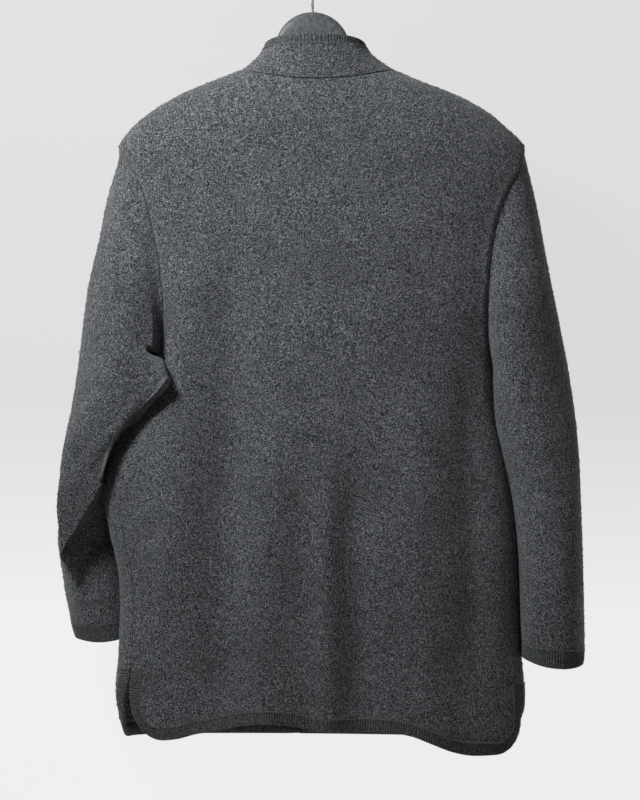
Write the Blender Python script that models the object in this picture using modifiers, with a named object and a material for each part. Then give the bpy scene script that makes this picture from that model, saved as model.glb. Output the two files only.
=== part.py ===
"""Boiled wool jacket on a hanger: back, two fronts, set-in sleeves, stand collar and rib-knit bands.

Metres, +Z up. The back faces +Y and the wearer's left is +X. The origin is the inside top of the
hanger's hook, so everything hangs below it.
"""
import functools
import math

import bmesh
import bpy
import numpy as np

# Cloth
WOOL = 0.003
SEAM_GAP = 0.0003
BAND_WIDTH = 0.015
BAND_WALL = 0.0024
RIB_PITCH = 0.0032
RIB_RELIEF = 0.0006
RIBS_PER_INNER_STEP = 3

# Body, measured from the hook: heights are negative
MIDDLE_X = -0.006
NECK_Z = -0.129
SHOULDER_TIP_Z = -0.215
ARMHOLE_ROUND_Z = -0.430
ARMPIT_Z = -0.4625
HEM_Z = -0.890
SLIT_HEIGHT = 0.077
SLIT_MIDDLE_Z = HEM_Z + 0.04
CORNER_RADIUS = 0.024
BACK_NECK_DROP = 0.014
FRONT_NECK_DROP = 0.072
NECK_DROP_REACH = 0.10
HEM_WAVE_REACH = 0.30
HEM_TURN = 0.03
HEM_SEAM_GAPS = 2.5
BACK_SHIFT_REACH = 0.18
FRONT_SHIFT_REACH = 0.15
SQUARENESS = 2.4
LAP = 0.012
LAP_LIFT = 0.0048
LIFT_START = 0.045
LIFT_REACH = 0.035

# Collar
COLLAR_TOP_Z = -0.0895
COLLAR_FRONT_TOP_Z = -0.142
COLLAR_TOP_LEFT = 0.0510
COLLAR_TOP_RIGHT = -0.0550
COLLAR_TOP_BACK = 0.044
COLLAR_TOP_FRONT = 0.050
COLLAR_BAND = 0.0115
COLLAR_FLARE = 1.55
COLLAR_ROWS = 5
COLLAR_END_GAP = 0.0006
COLLAR_TOP_LENGTH = 0.31

# Hanger and hook
HOOK_WIRE = 0.0016
CROOK_RADIUS = 0.020
STEM_BEND_RADIUS = 0.0104
CROOK_START = math.radians(-70)
CROOK_END = math.radians(200)
PLATE_TOP_Z = -0.062
PLATE_RADIUS = 0.0426
PLATE_HALF_THICKNESS = 0.005
ARM_REACH_LEFT = 0.178
ARM_REACH_RIGHT = 0.196
ARM_HEIGHT = 0.024
ARM_HALF_THICKNESS = 0.006
ARM_END_HALF_THICKNESS = 0.013

# Buttons
BUTTON_RADIUS = 0.0105
BUTTON_THICKNESS = 0.004
BUTTON_HEIGHTS = (-0.262, -0.361, -0.460, -0.559, -0.658)


def table(columns, *rows):
    """A table with named columns, one row for each section or fold."""
    return {name: np.array(values) for name, values in zip(columns.split(), zip(*rows))}


# Rings of the body: height, side to side reach from the middle line, and depth
BODY = table(
    "z left right back front",
    (-0.930, 0.2225, -0.2400, 0.066, 0.064),
    (-0.890, 0.2235, -0.2435, 0.066, 0.064),
    (-0.845, 0.2255, -0.2425, 0.065, 0.064),
    (-0.790, 0.2215, -0.2375, 0.065, 0.064),
    (-0.700, 0.2225, -0.2325, 0.065, 0.064),
    (-0.650, 0.2315, -0.2290, 0.064, 0.064),
    (-0.600, 0.2330, -0.2230, 0.064, 0.064),
    (-0.550, 0.2105, -0.2130, 0.063, 0.064),
    (-0.500, 0.1850, -0.2060, 0.063, 0.064),
    (-0.440, 0.1840, -0.2070, 0.062, 0.064),
    (-0.350, 0.2080, -0.2330, 0.061, 0.062),
    (-0.270, 0.2220, -0.2450, 0.060, 0.060),
    (-0.235, 0.2245, -0.2470, 0.059, 0.058),
    (-0.215, 0.2215, -0.2420, 0.058, 0.056),
    (-0.195, 0.2060, -0.2220, 0.057, 0.054),
    (-0.176, 0.1835, -0.1990, 0.055, 0.052),
    (-0.158, 0.1530, -0.1660, 0.052, 0.050),
    (-0.140, 0.1110, -0.1200, 0.048, 0.047),
    (-0.129, 0.0815, -0.0940, 0.045, 0.045),
)

# Armhole seam seen on the back, and the side seam, as distances across from the hook
ARMHOLE = table(
    "z left right",
    (-0.440, 0.1700, -0.1995),
    (-0.400, 0.1690, -0.1985),
    (-0.370, 0.1710, -0.2000),
    (-0.340, 0.1755, -0.2030),
    (-0.300, 0.1840, -0.2110),
    (-0.270, 0.1920, -0.2225),
    (-0.240, 0.2070, -0.2370),
    (-0.215, 0.2215, -0.2420),
)
SIDE_SEAM_INSET_LEFT = 0.017
SIDE_SEAM_INSET_RIGHT = 0.004

# Lower edge of the back, across the body
BACK_HEM = table(
    "x z",
    (-0.245, -0.906),
    (-0.200, -0.908),
    (-0.178, -0.907),
    (-0.157, -0.902),
    (-0.135, -0.893),
    (-0.112, -0.884),
    (-0.088, -0.880),
    (-0.035, -0.879),
    (0.000, -0.877),
    (0.022, -0.872),
    (0.052, -0.870),
    (0.085, -0.873),
    (0.113, -0.879),
    (0.131, -0.882),
    (0.152, -0.888),
    (0.178, -0.891),
    (0.230, -0.888),
)
FRONT_HEM = table(
    "x z",
    (-0.245, -0.897),
    (-0.100, -0.896),
    (0.000, -0.895),
    (0.100, -0.894),
    (0.230, -0.892),
)

# Soft folds of the back: place at the top and bottom, half width and height of the wave
FOLDS = table(
    "x_top z_top x_low z_low width wave",
    (0.140, -0.300, 0.168, -0.760, 0.028, 0.005),
    (0.086, -0.320, 0.108, -0.900, 0.024, -0.006),
    (0.040, -0.520, 0.052, -0.960, 0.026, 0.004),
    (-0.018, -0.600, -0.024, -0.960, 0.016, 0.005),
    (-0.052, -0.560, -0.062, -0.960, 0.020, -0.005),
    (-0.120, -0.480, -0.138, -0.960, 0.030, 0.005),
    (-0.178, -0.420, -0.186, -0.860, 0.016, -0.003),
)
FOLD_FADE = 0.10
FOLD_SIDE_FADE = 1.4

# Sleeves: outer and inner edge of each section, half thickness, and how far it has left the armhole
SLEEVE = "t out_x out_y out_z in_x in_y in_z half leave"
SLEEVE_LEFT = table(
    SLEEVE,
    (0.0, 0.2215, 0.000, -0.215, 0.1880, 0.010, -0.4560, 0.050, 0.00),
    (0.5, 0.2300, 0.000, -0.244, 0.1950, 0.012, -0.4570, 0.052, 0.30),
    (1.0, 0.2405, 0.000, -0.278, 0.1930, 0.022, -0.4560, 0.050, 0.65),
    (2.0, 0.2475, -0.002, -0.330, 0.1845, 0.042, -0.4560, 0.044, 1.00),
    (3.0, 0.2550, -0.004, -0.391, 0.1750, 0.059, -0.4590, 0.037, 1.00),
    (4.0, 0.2620, -0.006, -0.450, 0.1690, 0.067, -0.4670, 0.032, 1.00),
    (5.0, 0.2700, -0.008, -0.512, 0.1655, 0.072, -0.4770, 0.028, 1.00),
    (6.0, 0.2825, -0.010, -0.578, 0.1655, 0.072, -0.4880, 0.027, 1.00),
    (6.6, 0.2865, -0.014, -0.606, 0.1840, 0.058, -0.5080, 0.020, 1.00),
    (7.2, 0.2890, -0.018, -0.634, 0.2110, 0.041, -0.5360, 0.018, 1.00),
    (8.0, 0.2915, -0.026, -0.665, 0.2385, 0.008, -0.5800, 0.021, 1.00),
    (9.0, 0.2910, -0.038, -0.692, 0.2320, -0.038, -0.6350, 0.030, 1.00),
    (10.0, 0.2870, -0.044, -0.724, 0.2190, -0.056, -0.6920, 0.041, 1.00),
    (11.0, 0.2795, -0.048, -0.765, 0.2110, -0.062, -0.7570, 0.044, 1.00),
    (12.0, 0.2740, -0.049, -0.783, 0.2080, -0.063, -0.7735, 0.044, 1.00),
)
SLEEVE_RIGHT = table(
    SLEEVE,
    (0.0, -0.2420, 0.000, -0.215, -0.2120, 0.000, -0.4560, 0.050, 0.00),
    (0.5, -0.2510, 0.000, -0.242, -0.2200, 0.004, -0.4580, 0.054, 0.30),
    (1.0, -0.2595, 0.000, -0.277, -0.2215, 0.010, -0.4600, 0.057, 0.65),
    (2.0, -0.2680, -0.002, -0.335, -0.2160, 0.026, -0.4700, 0.055, 1.00),
    (3.0, -0.2750, -0.004, -0.392, -0.2100, 0.044, -0.4860, 0.040, 1.00),
    (4.0, -0.2830, -0.006, -0.450, -0.2110, 0.047, -0.5060, 0.037, 1.00),
    (5.0, -0.2905, -0.006, -0.506, -0.2150, 0.043, -0.5330, 0.038, 1.00),
    (6.0, -0.2965, -0.004, -0.560, -0.2220, 0.034, -0.5680, 0.042, 1.00),
    (7.0, -0.3010, 0.000, -0.621, -0.2305, 0.024, -0.6250, 0.046, 1.00),
    (8.0, -0.3070, 0.004, -0.690, -0.2370, 0.013, -0.6900, 0.049, 1.00),
    (9.0, -0.3098, 0.006, -0.748, -0.2390, 0.006, -0.7450, 0.049, 1.00),
    (10.0, -0.3100, 0.006, -0.790, -0.2395, 0.006, -0.7840, 0.048, 1.00),
    (11.0, -0.3085, 0.006, -0.8065, -0.2390, 0.006, -0.7990, 0.047, 1.00),
)
CUFF_SAG = 0.006
SLEEVE_SQUARENESS = 2.3

# Sampling
SHOULDER_LEVELS = (-0.129, -0.135, -0.143, -0.155, -0.170, -0.186, -0.201)
ARMHOLE_LEVELS = (-0.215, -0.238, -0.270, -0.310, -0.350, -0.390, -0.430, -0.446, -0.457, -0.4625)
BODY_LEVELS = (-0.495, -0.530, -0.565, -0.600, -0.640, -0.680, -0.720, -0.765)
BACK_COLUMNS = 19
FRONT_COLUMNS = 9
EDGE_STRIP = 0.030
RIDGE_STRIP = 0.014
SLEEVE_RINGS = 24
RING_STEP = 0.001
NORMAL_STEP = 0.002
RING_SAMPLES = 361

COLOURS = {
    "wool": ((0.075, 0.082, 0.085, 1.0), 0.95, 0.0),
    "rib": ((0.060, 0.064, 0.066, 1.0), 0.9, 0.0),
    "horn": ((0.050, 0.042, 0.036, 1.0), 0.4, 0.0),
    "plastic": ((0.045, 0.047, 0.050, 1.0), 0.5, 0.0),
    "steel": ((0.60, 0.60, 0.60, 1.0), 0.3, 1.0),
}


def smooth(keys, values, at):
    """A cubic through the rows of a table, with each row's slope taken from its neighbours."""
    slopes = np.gradient(values, keys)
    low = np.clip(np.searchsorted(keys, at) - 1, 0, len(keys) - 2)
    span = keys[low + 1] - keys[low]
    t = np.clip((at - keys[low]) / span, 0.0, 1.0)
    start = (1 + 2 * t) * (1 - t) ** 2 * values[low] + t * (1 - t) ** 2 * span * slopes[low]
    end = t * t * (3 - 2 * t) * values[low + 1] + t * t * (t - 1) * span * slopes[low + 1]
    return start + end


def ease(t):
    """A soft step from 0 to 1."""
    t = min(max(t, 0.0), 1.0)
    return t * t * (3 - 2 * t)


def unit(vector):
    return vector / np.linalg.norm(vector)


# The body's surface, reached by the distance round from the centre back and the height


@functools.lru_cache(maxsize=None)
def ring(step):
    """One level ring of the body: the way round from the centre back, and its points."""
    z = step * RING_STEP
    left, right, back, front = (smooth(BODY["z"], BODY[k], z) for k in ("left", "right", "back", "front"))
    turn = np.linspace(1.5 * math.pi + 0.3, -0.5 * math.pi - 0.3, RING_SAMPLES)
    power = 2 / SQUARENESS
    across = np.sign(np.cos(turn)) * np.abs(np.cos(turn)) ** power
    deep = np.sign(np.sin(turn)) * np.abs(np.sin(turn)) ** power
    x = MIDDLE_X + across * np.where(across > 0, left - MIDDLE_X, MIDDLE_X - right)
    y = deep * np.where(deep > 0, back, front)
    way = np.concatenate(([0.0], np.cumsum(np.hypot(np.diff(x), np.diff(y)))))
    way -= np.interp(0.0, -(turn - math.pi / 2), way)
    sides = np.interp((-math.pi, 0.0), -turn, way)
    centres = np.interp((-1.5 * math.pi, 0.5 * math.pi), -turn, way)
    return way, x, y, sides, centres


def ring_mix(z):
    low = math.floor(z / RING_STEP)
    return ring(low), ring(low + 1), z / RING_STEP - low


def ring_mark(z, kind):
    """How far round the side turns and the centre front lie: right and left."""
    low, high, mix = ring_mix(z)
    return low[kind] * (1 - mix) + high[kind] * mix


def side_turns(z):
    return ring_mark(z, 3)


def centre_fronts(z):
    return ring_mark(z, 4)


def level_point(way, z):
    low, high, mix = ring_mix(z)
    x = np.interp(way, low[0], low[1]) * (1 - mix) + np.interp(way, high[0], high[1]) * mix
    y = np.interp(way, low[0], low[2]) * (1 - mix) + np.interp(way, high[0], high[2]) * mix
    return x, y


def fold_wave(x, z):
    """How far the soft folds push the back out."""
    total = 0.0
    for row in zip(*FOLDS.values()):
        x_top, z_top, x_low, z_low, width, wave = row
        along = (z_top - z) / (z_top - z_low)
        centre = x_top + (x_low - x_top) * along
        fade = ease((z_top - z) / FOLD_FADE) * ease((z - z_low) / FOLD_FADE)
        total += wave * fade * math.exp(-((x - centre) / width) ** 2)
    return total


def drop_at(x, y, z):
    """How far the neckline's curve lowers a level near the top."""
    reach = max(NECK_Z - z, 0.0) / NECK_DROP_REACH
    edge = smooth(BODY["z"], BODY["left" if x > MIDDLE_X else "right"], z)
    round_off = max(1 - ((x - MIDDLE_X) / (edge - MIDDLE_X)) ** 2, 0.0)
    drop = BACK_NECK_DROP if y > 0 else FRONT_NECK_DROP
    return drop * (1 - ease(reach)) * round_off


def front_share(way, height):
    """0 on the back, and 1 on the front past the turn of the side."""
    right, left = side_turns(height)
    start = left - SIDE_SEAM_INSET_LEFT if way > 0 else -right - SIDE_SEAM_INSET_RIGHT
    return ease((abs(way) - start) / HEM_TURN)


def body_point(way, height):
    """A point of the cloth's outside. Height is a level, which the hem's wave and the neck bend."""
    x, y = level_point(way, height)
    share = front_share(way, height)
    hems = [smooth(hem["x"], hem["z"], x) for hem in (BACK_HEM, FRONT_HEM)]
    wave = hems[0] * (1 - share) + hems[1] * share - HEM_Z
    bent = height + wave * (1 - ease((height - HEM_Z - SLIT_HEIGHT) / HEM_WAVE_REACH))
    x, y = level_point(way, bent)
    if y > 0:
        depth = smooth(BODY["z"], BODY["back"], bent)
        y += fold_wave(x, bent) * ease(y / depth * FOLD_SIDE_FADE)
    return np.array((x, y, bent - drop_at(x, y, height)))


def body_normal(way, height):
    up = body_point(way, height + NORMAL_STEP) - body_point(way, height - NORMAL_STEP)
    along = body_point(way + NORMAL_STEP, height) - body_point(way - NORMAL_STEP, height)
    return unit(np.cross(up, along))


def seam_way(height, side, front):
    """How far round the panel's side edge is: side seam, armhole, then the shoulder's ridge."""
    turns = side_turns(height)
    turn = turns[1] if side > 0 else -turns[0]
    if height >= SHOULDER_TIP_Z:
        return turn
    name = "left" if side > 0 else "right"
    inset = SIDE_SEAM_INSET_LEFT if side > 0 else SIDE_SEAM_INSET_RIGHT
    reach = smooth(BODY["z"], BODY[name], height)
    seam = way_to_x(height, side, reach - side * inset, False)
    if height <= ARMPIT_Z:
        return seam
    hole = way_to_x(height, side, smooth(ARMHOLE["z"], ARMHOLE[name], height), front)
    t = min(max((ARMHOLE_ROUND_Z - height) / (ARMHOLE_ROUND_Z - ARMPIT_Z), 0.0), 1.0)
    return seam + (hole - seam) * math.sqrt(1 - t * t)


def way_to_x(height, side, x, front):
    """The way round, counted positive on both sides, at which the ring has this x."""
    way, xs, _, _, _ = ring(round(height / RING_STEP))
    way, xs = (way, xs) if side > 0 else (-way[::-1], -xs[::-1])
    turn = way[np.argmax(xs)]
    part = (way >= turn) & (way <= turn + 0.25) if front else (way >= 0) & (way <= turn)
    order = np.argsort(xs[part])
    return float(np.interp(side * x, xs[part][order], way[part][order]))


# Walls and meshes


def new_object(name, vertices, faces, colour):
    mesh = bpy.data.meshes.new(name)
    mesh.from_pydata([tuple(map(float, v)) for v in vertices], [], faces)
    made = bpy.data.objects.new(name, mesh)
    bpy.data.collections["wool_jacket"].objects.link(made)
    work = bmesh.new()
    work.from_mesh(mesh)
    bmesh.ops.recalc_face_normals(work, faces=work.faces)
    work.to_mesh(mesh)
    work.free()
    mesh.materials.append(material(colour))
    mesh.shade_smooth()
    mesh.set_sharp_from_angle(angle=math.radians(40))
    return made


@functools.lru_cache(maxsize=None)
def material(name):
    colour, rough, metal = COLOURS[name]
    made = bpy.data.materials.new(name)
    made.use_nodes = True
    shader = made.node_tree.nodes["Principled BSDF"]
    shader.inputs["Base Color"].default_value = colour
    shader.inputs["Roughness"].default_value = rough
    shader.inputs["Metallic"].default_value = metal
    return made


def wall(name, outer, inner, colour, round_closed=False):
    """A closed wall between two grids of points, joined round their edges."""
    rows, columns = len(outer), len(outer[0])
    skins = [np.array(outer).reshape(-1, 3), np.array(inner).reshape(-1, 3)]
    inside = rows * columns
    last = columns if round_closed else columns - 1
    faces = []
    for r in range(rows - 1):
        for c in range(last):
            n = (c + 1) % columns
            a, b, e, d = r * columns + c, r * columns + n, (r + 1) * columns + n, (r + 1) * columns + c
            faces.append((a, b, e, d))
            faces.append((a + inside, d + inside, e + inside, b + inside))
    for r in (0, rows - 1):
        for c in range(last):
            a, b = r * columns + c, r * columns + (c + 1) % columns
            faces.append((a, b, b + inside, a + inside))
    if not round_closed:
        for c in (0, columns - 1):
            for r in range(rows - 1):
                a, b = r * columns + c, (r + 1) * columns + c
                faces.append((a, b, b + inside, a + inside))
    return new_object(name, np.concatenate(skins), faces, colour)


def rib_band(name, place, length, closed=False):
    """A rib-knit band: ribs raised in its outside over a plain, coarser inside.

    place(along, across) gives the point and normal of the cloth's outside there, for across 0 or 1.
    """
    steps = max(2, round(length / RIB_PITCH / RIBS_PER_INNER_STEP))
    fine = 2 * RIBS_PER_INNER_STEP
    outs, ins = [], []
    for across in (0.0, 1.0):
        row = []
        for k in range(steps * fine + (0 if closed else 1)):
            point, normal = place(k / (steps * fine), across)
            row.append(point + normal * (RIB_RELIEF if k % 2 else 0.0))
        outs.append(row)
        row = []
        for k in range(steps + (0 if closed else 1)):
            point, normal = place(k / steps, across)
            row.append(point - normal * BAND_WALL)
        ins.append(row)
    wide, narrow = len(outs[0]), len(ins[0])
    vertices = outs[0] + outs[1] + ins[0] + ins[1]
    inner = 2 * wide
    faces = []
    for k in range(steps * fine):
        n = (k + 1) % wide
        faces.append((k, n, n + wide, k + wide))
    for s in range(steps):
        n = (s + 1) % narrow
        faces.append((inner + s, inner + s + narrow, inner + n + narrow, inner + n))
        for edge in (0, 1):
            near, far = inner + edge * narrow + s, inner + edge * narrow + n
            for k in range(fine):
                a = edge * wide + (s * fine + k) % wide
                b = edge * wide + (s * fine + k + 1) % wide
                faces.append((a, b, near if k < fine // 2 else far))
            middle = edge * wide + (s * fine + fine // 2) % wide
            faces.append((middle, far, near))
    if not closed:
        for k, s in ((0, 0), (wide - 1, narrow - 1)):
            faces.append((k, k + wide, inner + narrow + s, inner + s))
    return new_object(name, vertices, faces, "rib")


# Panels


def panel_levels():
    """Heights of a panel's rows, from the neck to the seam of the hem band."""
    low = HEM_Z + BAND_WIDTH + SEAM_GAP
    corner = HEM_Z + CORNER_RADIUS
    slit = HEM_Z + SLIT_HEIGHT
    lower = (slit, slit - 0.001, slit - 0.013, slit - 0.026, corner + 0.014, corner, corner - 0.005, low)
    return SHOULDER_LEVELS + ARMHOLE_LEVELS + BODY_LEVELS + lower


def edge_inset(height):
    """How far the wool stays in from the side edge: the slit's band and round corner lie there."""
    if height > HEM_Z + SLIT_HEIGHT - 0.0005:
        return SEAM_GAP / 2
    inset = BAND_WIDTH + SEAM_GAP
    below = HEM_Z + CORNER_RADIUS - height
    if below > 0:
        inner = CORNER_RADIUS - BAND_WIDTH - SEAM_GAP
        inset += inner - math.sqrt(max(inner * inner - below * below, 0.0))
    return inset


def lap_lift(way, height, side, lift):
    """The upper front lies over the lower one near the centre."""
    if not lift:
        return 0.0
    centre = centre_fronts(height)[1] if side > 0 else -centre_fronts(height)[0]
    return lift * ease((abs(way) - (centre - LAP - LIFT_START)) / LIFT_REACH)


def cloth_pair(way, height, lift=0.0):
    normal = body_normal(way, height)
    outside = body_point(way, height) + normal * lift
    return outside, outside - normal * WOOL


def spread(start, end, first_gap, last_gap, columns):
    """Places across a panel: edge strips of a set width, and even columns between."""
    middle = np.linspace(start + first_gap, end - last_gap, columns - 2)
    return [start] + list(middle) + [end]


def edge_strip(level):
    return RIDGE_STRIP if level >= SHOULDER_TIP_Z else EDGE_STRIP


def back_row(level):
    """Places across the back, from its right side edge to its left."""
    left, right = seam_way(level, 1, False), -seam_way(level, -1, False)
    inset = edge_inset(level)
    strip = min(edge_strip(level), (left - right) / 6)
    row = spread(right, left, strip, strip, BACK_COLUMNS)
    row[0] += inset
    row[-1] -= inset
    return row


def front_row(level, side):
    """Places across a front, from its side edge to its lap. The last but one is the centre front."""
    start = seam_way(level, side, True)
    end = front_edge(level, side)
    strip = min(edge_strip(level), (end - start) / 5)
    row = spread(start, end, strip, LAP, FRONT_COLUMNS)
    row[0] += edge_inset(level)
    return row


def back_panel():
    outer, inner = [], []
    for level in panel_levels():
        pairs = [cloth_pair(way, level) for way in back_row(level)]
        outer.append([p[0] for p in pairs])
        inner.append([p[1] for p in pairs])
    return wall("back", outer, inner, "wool")


def front_panel(name, side, lift):
    """A front from its side edge to its lap past the centre front."""
    outer, inner = [], []
    for level in panel_levels():
        row = front_row(level, side)
        pairs = [cloth_pair(side * way, level, lap_lift(way, level, side, lift)) for way in row]
        outer.append([p[0] for p in pairs])
        inner.append([p[1] for p in pairs])
    return wall(name, outer, inner, "wool")


def front_edge(level, side):
    centres = centre_fronts(level)
    return (centres[1] if side > 0 else -centres[0]) + LAP


def edge_path(half, reach_end, along, across):
    """A band's route round a panel's lower edge, from one slit's top to the other end.

    Returns the place across the panel and the height over the hem, for a panel that runs from
    -half (its slit side) to reach_end. A panel with two slits has reach_end None.
    """
    inset = across * (BAND_WIDTH - SEAM_GAP)
    leg = SLIT_HEIGHT - 0.002 - CORNER_RADIUS
    radius = CORNER_RADIUS
    quarter = radius * math.pi / 2
    left_half, right_half = half
    bottom = left_half + right_half - 2 * radius if reach_end is None else right_half + reach_end - radius
    total = leg + quarter + bottom + (quarter + leg if reach_end is None else 0.0)
    s = along * total
    if s <= leg:
        return -right_half + inset, radius + leg - s
    if s <= leg + quarter:
        angle = (s - leg) / radius
        r = radius - inset
        return -right_half + radius - r * math.cos(angle), radius - r * math.sin(angle)
    if s <= leg + quarter + bottom:
        return -right_half + radius + (s - leg - quarter), inset
    s -= leg + quarter + bottom
    if s <= quarter:
        angle = s / radius
        r = radius - inset
        return left_half - radius + r * math.sin(angle), radius - r * math.cos(angle)
    return left_half - inset, radius + (s - quarter)


def edge_length(half, reach_end):
    left_half, right_half = half
    leg = SLIT_HEIGHT - 0.002 - CORNER_RADIUS
    quarter = CORNER_RADIUS * math.pi / 2
    if reach_end is None:
        return 2 * (leg + quarter) + left_half + right_half - 2 * CORNER_RADIUS
    return leg + quarter + right_half + reach_end - CORNER_RADIUS


def below_panel(way, ways, edge):
    """The place just under a panel's lower edge, which runs straight between its points."""
    spot = np.array([np.interp(way, ways, edge[:, axis]) for axis in range(3)])
    return spot - (0.0, 0.0, HEM_SEAM_GAPS * SEAM_GAP)


def back_band():
    half = (seam_way(SLIT_MIDDLE_Z, 1, False) - SEAM_GAP / 2, seam_way(SLIT_MIDDLE_Z, -1, False) - SEAM_GAP / 2)
    seam_level = panel_levels()[-1]
    ways = back_row(seam_level)
    edge = np.array([body_point(way, seam_level) for way in ways])

    def place(along, across):
        way, over = edge_path(half, None, along, across)
        height = HEM_Z + over
        shift = seam_way(height, 1, False) - half[0] if way > 0 else half[1] - seam_way(height, -1, False)
        way += shift * min(abs(way) / BACK_SHIFT_REACH, 1.0)
        if across == 1.0 and ways[0] < way < ways[-1] and over < BAND_WIDTH + SEAM_GAP:
            return below_panel(way, ways, edge), body_normal(way, height)
        return body_point(way, height), body_normal(way, height)

    return rib_band("band_hem_back", place, edge_length(half, None))


def front_band(name, side, lift):
    """The band of one front: down its slit, round the corner and along the hem to the lap."""
    start = seam_way(SLIT_MIDDLE_Z, side, True)
    end = front_edge(SLIT_MIDDLE_Z, side)
    seam_level = panel_levels()[-1]
    ways = front_row(seam_level, side)
    edge = np.array([
        cloth_pair(side * way, seam_level, lap_lift(way, seam_level, side, lift))[0] for way in ways
    ])

    def place(along, across):
        way, over = edge_path((0.0, -start - SEAM_GAP / 2), end, along, across)
        height = HEM_Z + over
        way += (seam_way(height, side, True) - start) * max(1 - (way - start) / FRONT_SHIFT_REACH, 0.0)
        normal = body_normal(side * way, height)
        if across == 1.0 and ways[0] < way < ways[-1] and over < BAND_WIDTH + SEAM_GAP:
            return below_panel(way, ways, edge), normal
        return body_point(side * way, height) + normal * lap_lift(way, height, side, lift), normal

    return rib_band(name, place, edge_length((0.0, -start), end))


# Sleeves


def armhole_loop(side):
    """The armhole's edge, down the back and up the front, as outside and inside points."""
    back = [(level, False) for level in ARMHOLE_LEVELS]
    front = [(level, True) for level in ARMHOLE_LEVELS[-2:0:-1]]
    outer, inner = [], []
    for level, is_front in back + front:
        way = side * seam_way(level, side, is_front)
        pair = cloth_pair(way, level)
        outer.append(pair[0])
        inner.append(pair[1])
    outer, inner = np.array(outer), np.array(inner)
    after = np.roll(outer, -1, axis=0) - outer
    away_after = side * np.cross(after, outer - inner)
    away_after /= np.linalg.norm(away_after, axis=1, keepdims=True)
    away_before = np.roll(away_after, 1, axis=0)
    mitre = (away_after + away_before) / (1.2 + np.sum(away_after * away_before, axis=1, keepdims=True))
    shift = mitre * SEAM_GAP * 1.8
    return outer + shift, inner + shift


def loop_turns():
    """The turn round the sleeve of each point of the armhole's edge, from the shoulder tip."""
    middle = (SHOULDER_TIP_Z + ARMPIT_Z) / 2
    half = (SHOULDER_TIP_Z - ARMPIT_Z) / 2
    down = [math.acos(max(min((z - middle) / half, 1), -1)) for z in ARMHOLE_LEVELS]
    return np.array(down + [2 * math.pi - turn for turn in down[-2:0:-1]])


def sleeve_row(rows, t):
    return {name: smooth(rows["t"], rows[name], t) for name in rows if name != "t"}


def sleeve_ring(rows, side, t, turns):
    """One section of a sleeve: a rounded flat oval between its outer and inner edges."""
    row, after = sleeve_row(rows, t), sleeve_row(rows, min(t + 0.3, rows["t"][-1]))
    before = sleeve_row(rows, max(t - 0.3, 0.0))
    out = np.array([row["out_x"], row["out_y"], row["out_z"]])
    inn = np.array([row["in_x"], row["in_y"], row["in_z"]])
    flow = sum(np.array([after[k], after[l], after[m]]) - np.array([before[k], before[l], before[m]])
               for k, l, m in (("out_x", "out_y", "out_z"), ("in_x", "in_y", "in_z")))
    thick = unit(np.cross(out - inn, flow)) * side
    if thick[1] < 0:
        thick = -thick
    power = 2 / SLEEVE_SQUARENESS
    cosine = np.sign(np.cos(turns)) * np.abs(np.cos(turns)) ** power
    sine = np.sign(np.sin(turns)) * np.abs(np.sin(turns)) ** power
    return (out + inn) / 2 + np.outer(cosine, (out - inn) / 2) + np.outer(sine, thick * row["half"])


def sleeve_surface(rows, side, t, loop, turns):
    count = len(turns)
    even = np.arange(count) * 2 * math.pi / count
    leave = float(np.clip(smooth(rows["t"], rows["leave"], t), 0.0, 1.0))
    if t >= rows["t"][3]:
        leave = 1.0
    mixed = turns * (1 - leave) + even * leave
    return loop * (1 - leave) + sleeve_ring(rows, side, t, mixed) * leave


def sleeve(name, side, rows):
    loop_outer, loop_inner = armhole_loop(side)
    turns = loop_turns()
    last = rows["t"][-1]
    end = last - 1.0
    stops = np.concatenate((np.linspace(0, 2, 7), np.linspace(2, end, SLEEVE_RINGS - 6)[1:]))
    outer = np.array([sleeve_surface(rows, side, t, loop_outer, turns) for t in stops])
    ahead = np.array([sleeve_surface(rows, side, min(t + 0.05, last), loop_outer, turns) for t in stops])
    behind = np.array([sleeve_surface(rows, side, max(t - 0.05, 0.0), loop_outer, turns) for t in stops])
    around = np.roll(outer, -1, axis=1) - np.roll(outer, 1, axis=1)
    normals = np.cross(around, ahead - behind)
    normals /= np.linalg.norm(normals, axis=2, keepdims=True)
    centres = outer.mean(axis=1, keepdims=True)
    if np.sum(normals[-1] * (outer[-1] - centres[-1])) < 0:
        normals = -normals
    inner = outer - normals * WOOL
    inner[0] = loop_inner
    made = wall(name, outer, inner, "wool", round_closed=True)
    cuff_band(name.replace("sleeve", "band_cuff"), side, rows)
    return made


def cuff_band(name, side, rows):
    last = rows["t"][-1]
    start = last - 1.0
    slack = SEAM_GAP / BAND_WIDTH

    def at(along, across):
        turn = np.array([along * 2 * math.pi])
        t = start + slack + (last - start - slack) * (1 - across)
        point = sleeve_ring(rows, side, t, turn)[0]
        point[2] -= CUFF_SAG * (1 - math.cos(2 * turn[0])) / 2 * (1 - across)
        return point

    def place(along, across):
        step = 0.002
        around = at(along + step, across) - at(along - step, across)
        down = at(along, 0.0) - at(along, 1.0)
        normal = unit(np.cross(around, down))
        middle = (at(0.0, across) + at(0.5, across)) / 2
        point = at(along, across)
        if np.dot(normal, point - middle) < 0:
            normal = -normal
        return point, normal

    ring_points = [at(k / 60, 1.0) for k in range(60)]
    length = sum(np.linalg.norm(ring_points[k] - ring_points[k - 1]) for k in range(60))
    return rib_band(name, place, length, closed=True)


# Collar


def neck_row():
    """Ways round the neck seam, from the wearer's right centre front to the left."""
    right = front_row(NECK_Z, -1)[:-1]
    left = front_row(NECK_Z, 1)[:-1]
    right[-1] -= COLLAR_END_GAP
    left[-1] -= COLLAR_END_GAP
    return [-way for way in reversed(right)] + back_row(NECK_Z)[1:-1] + left


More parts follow.
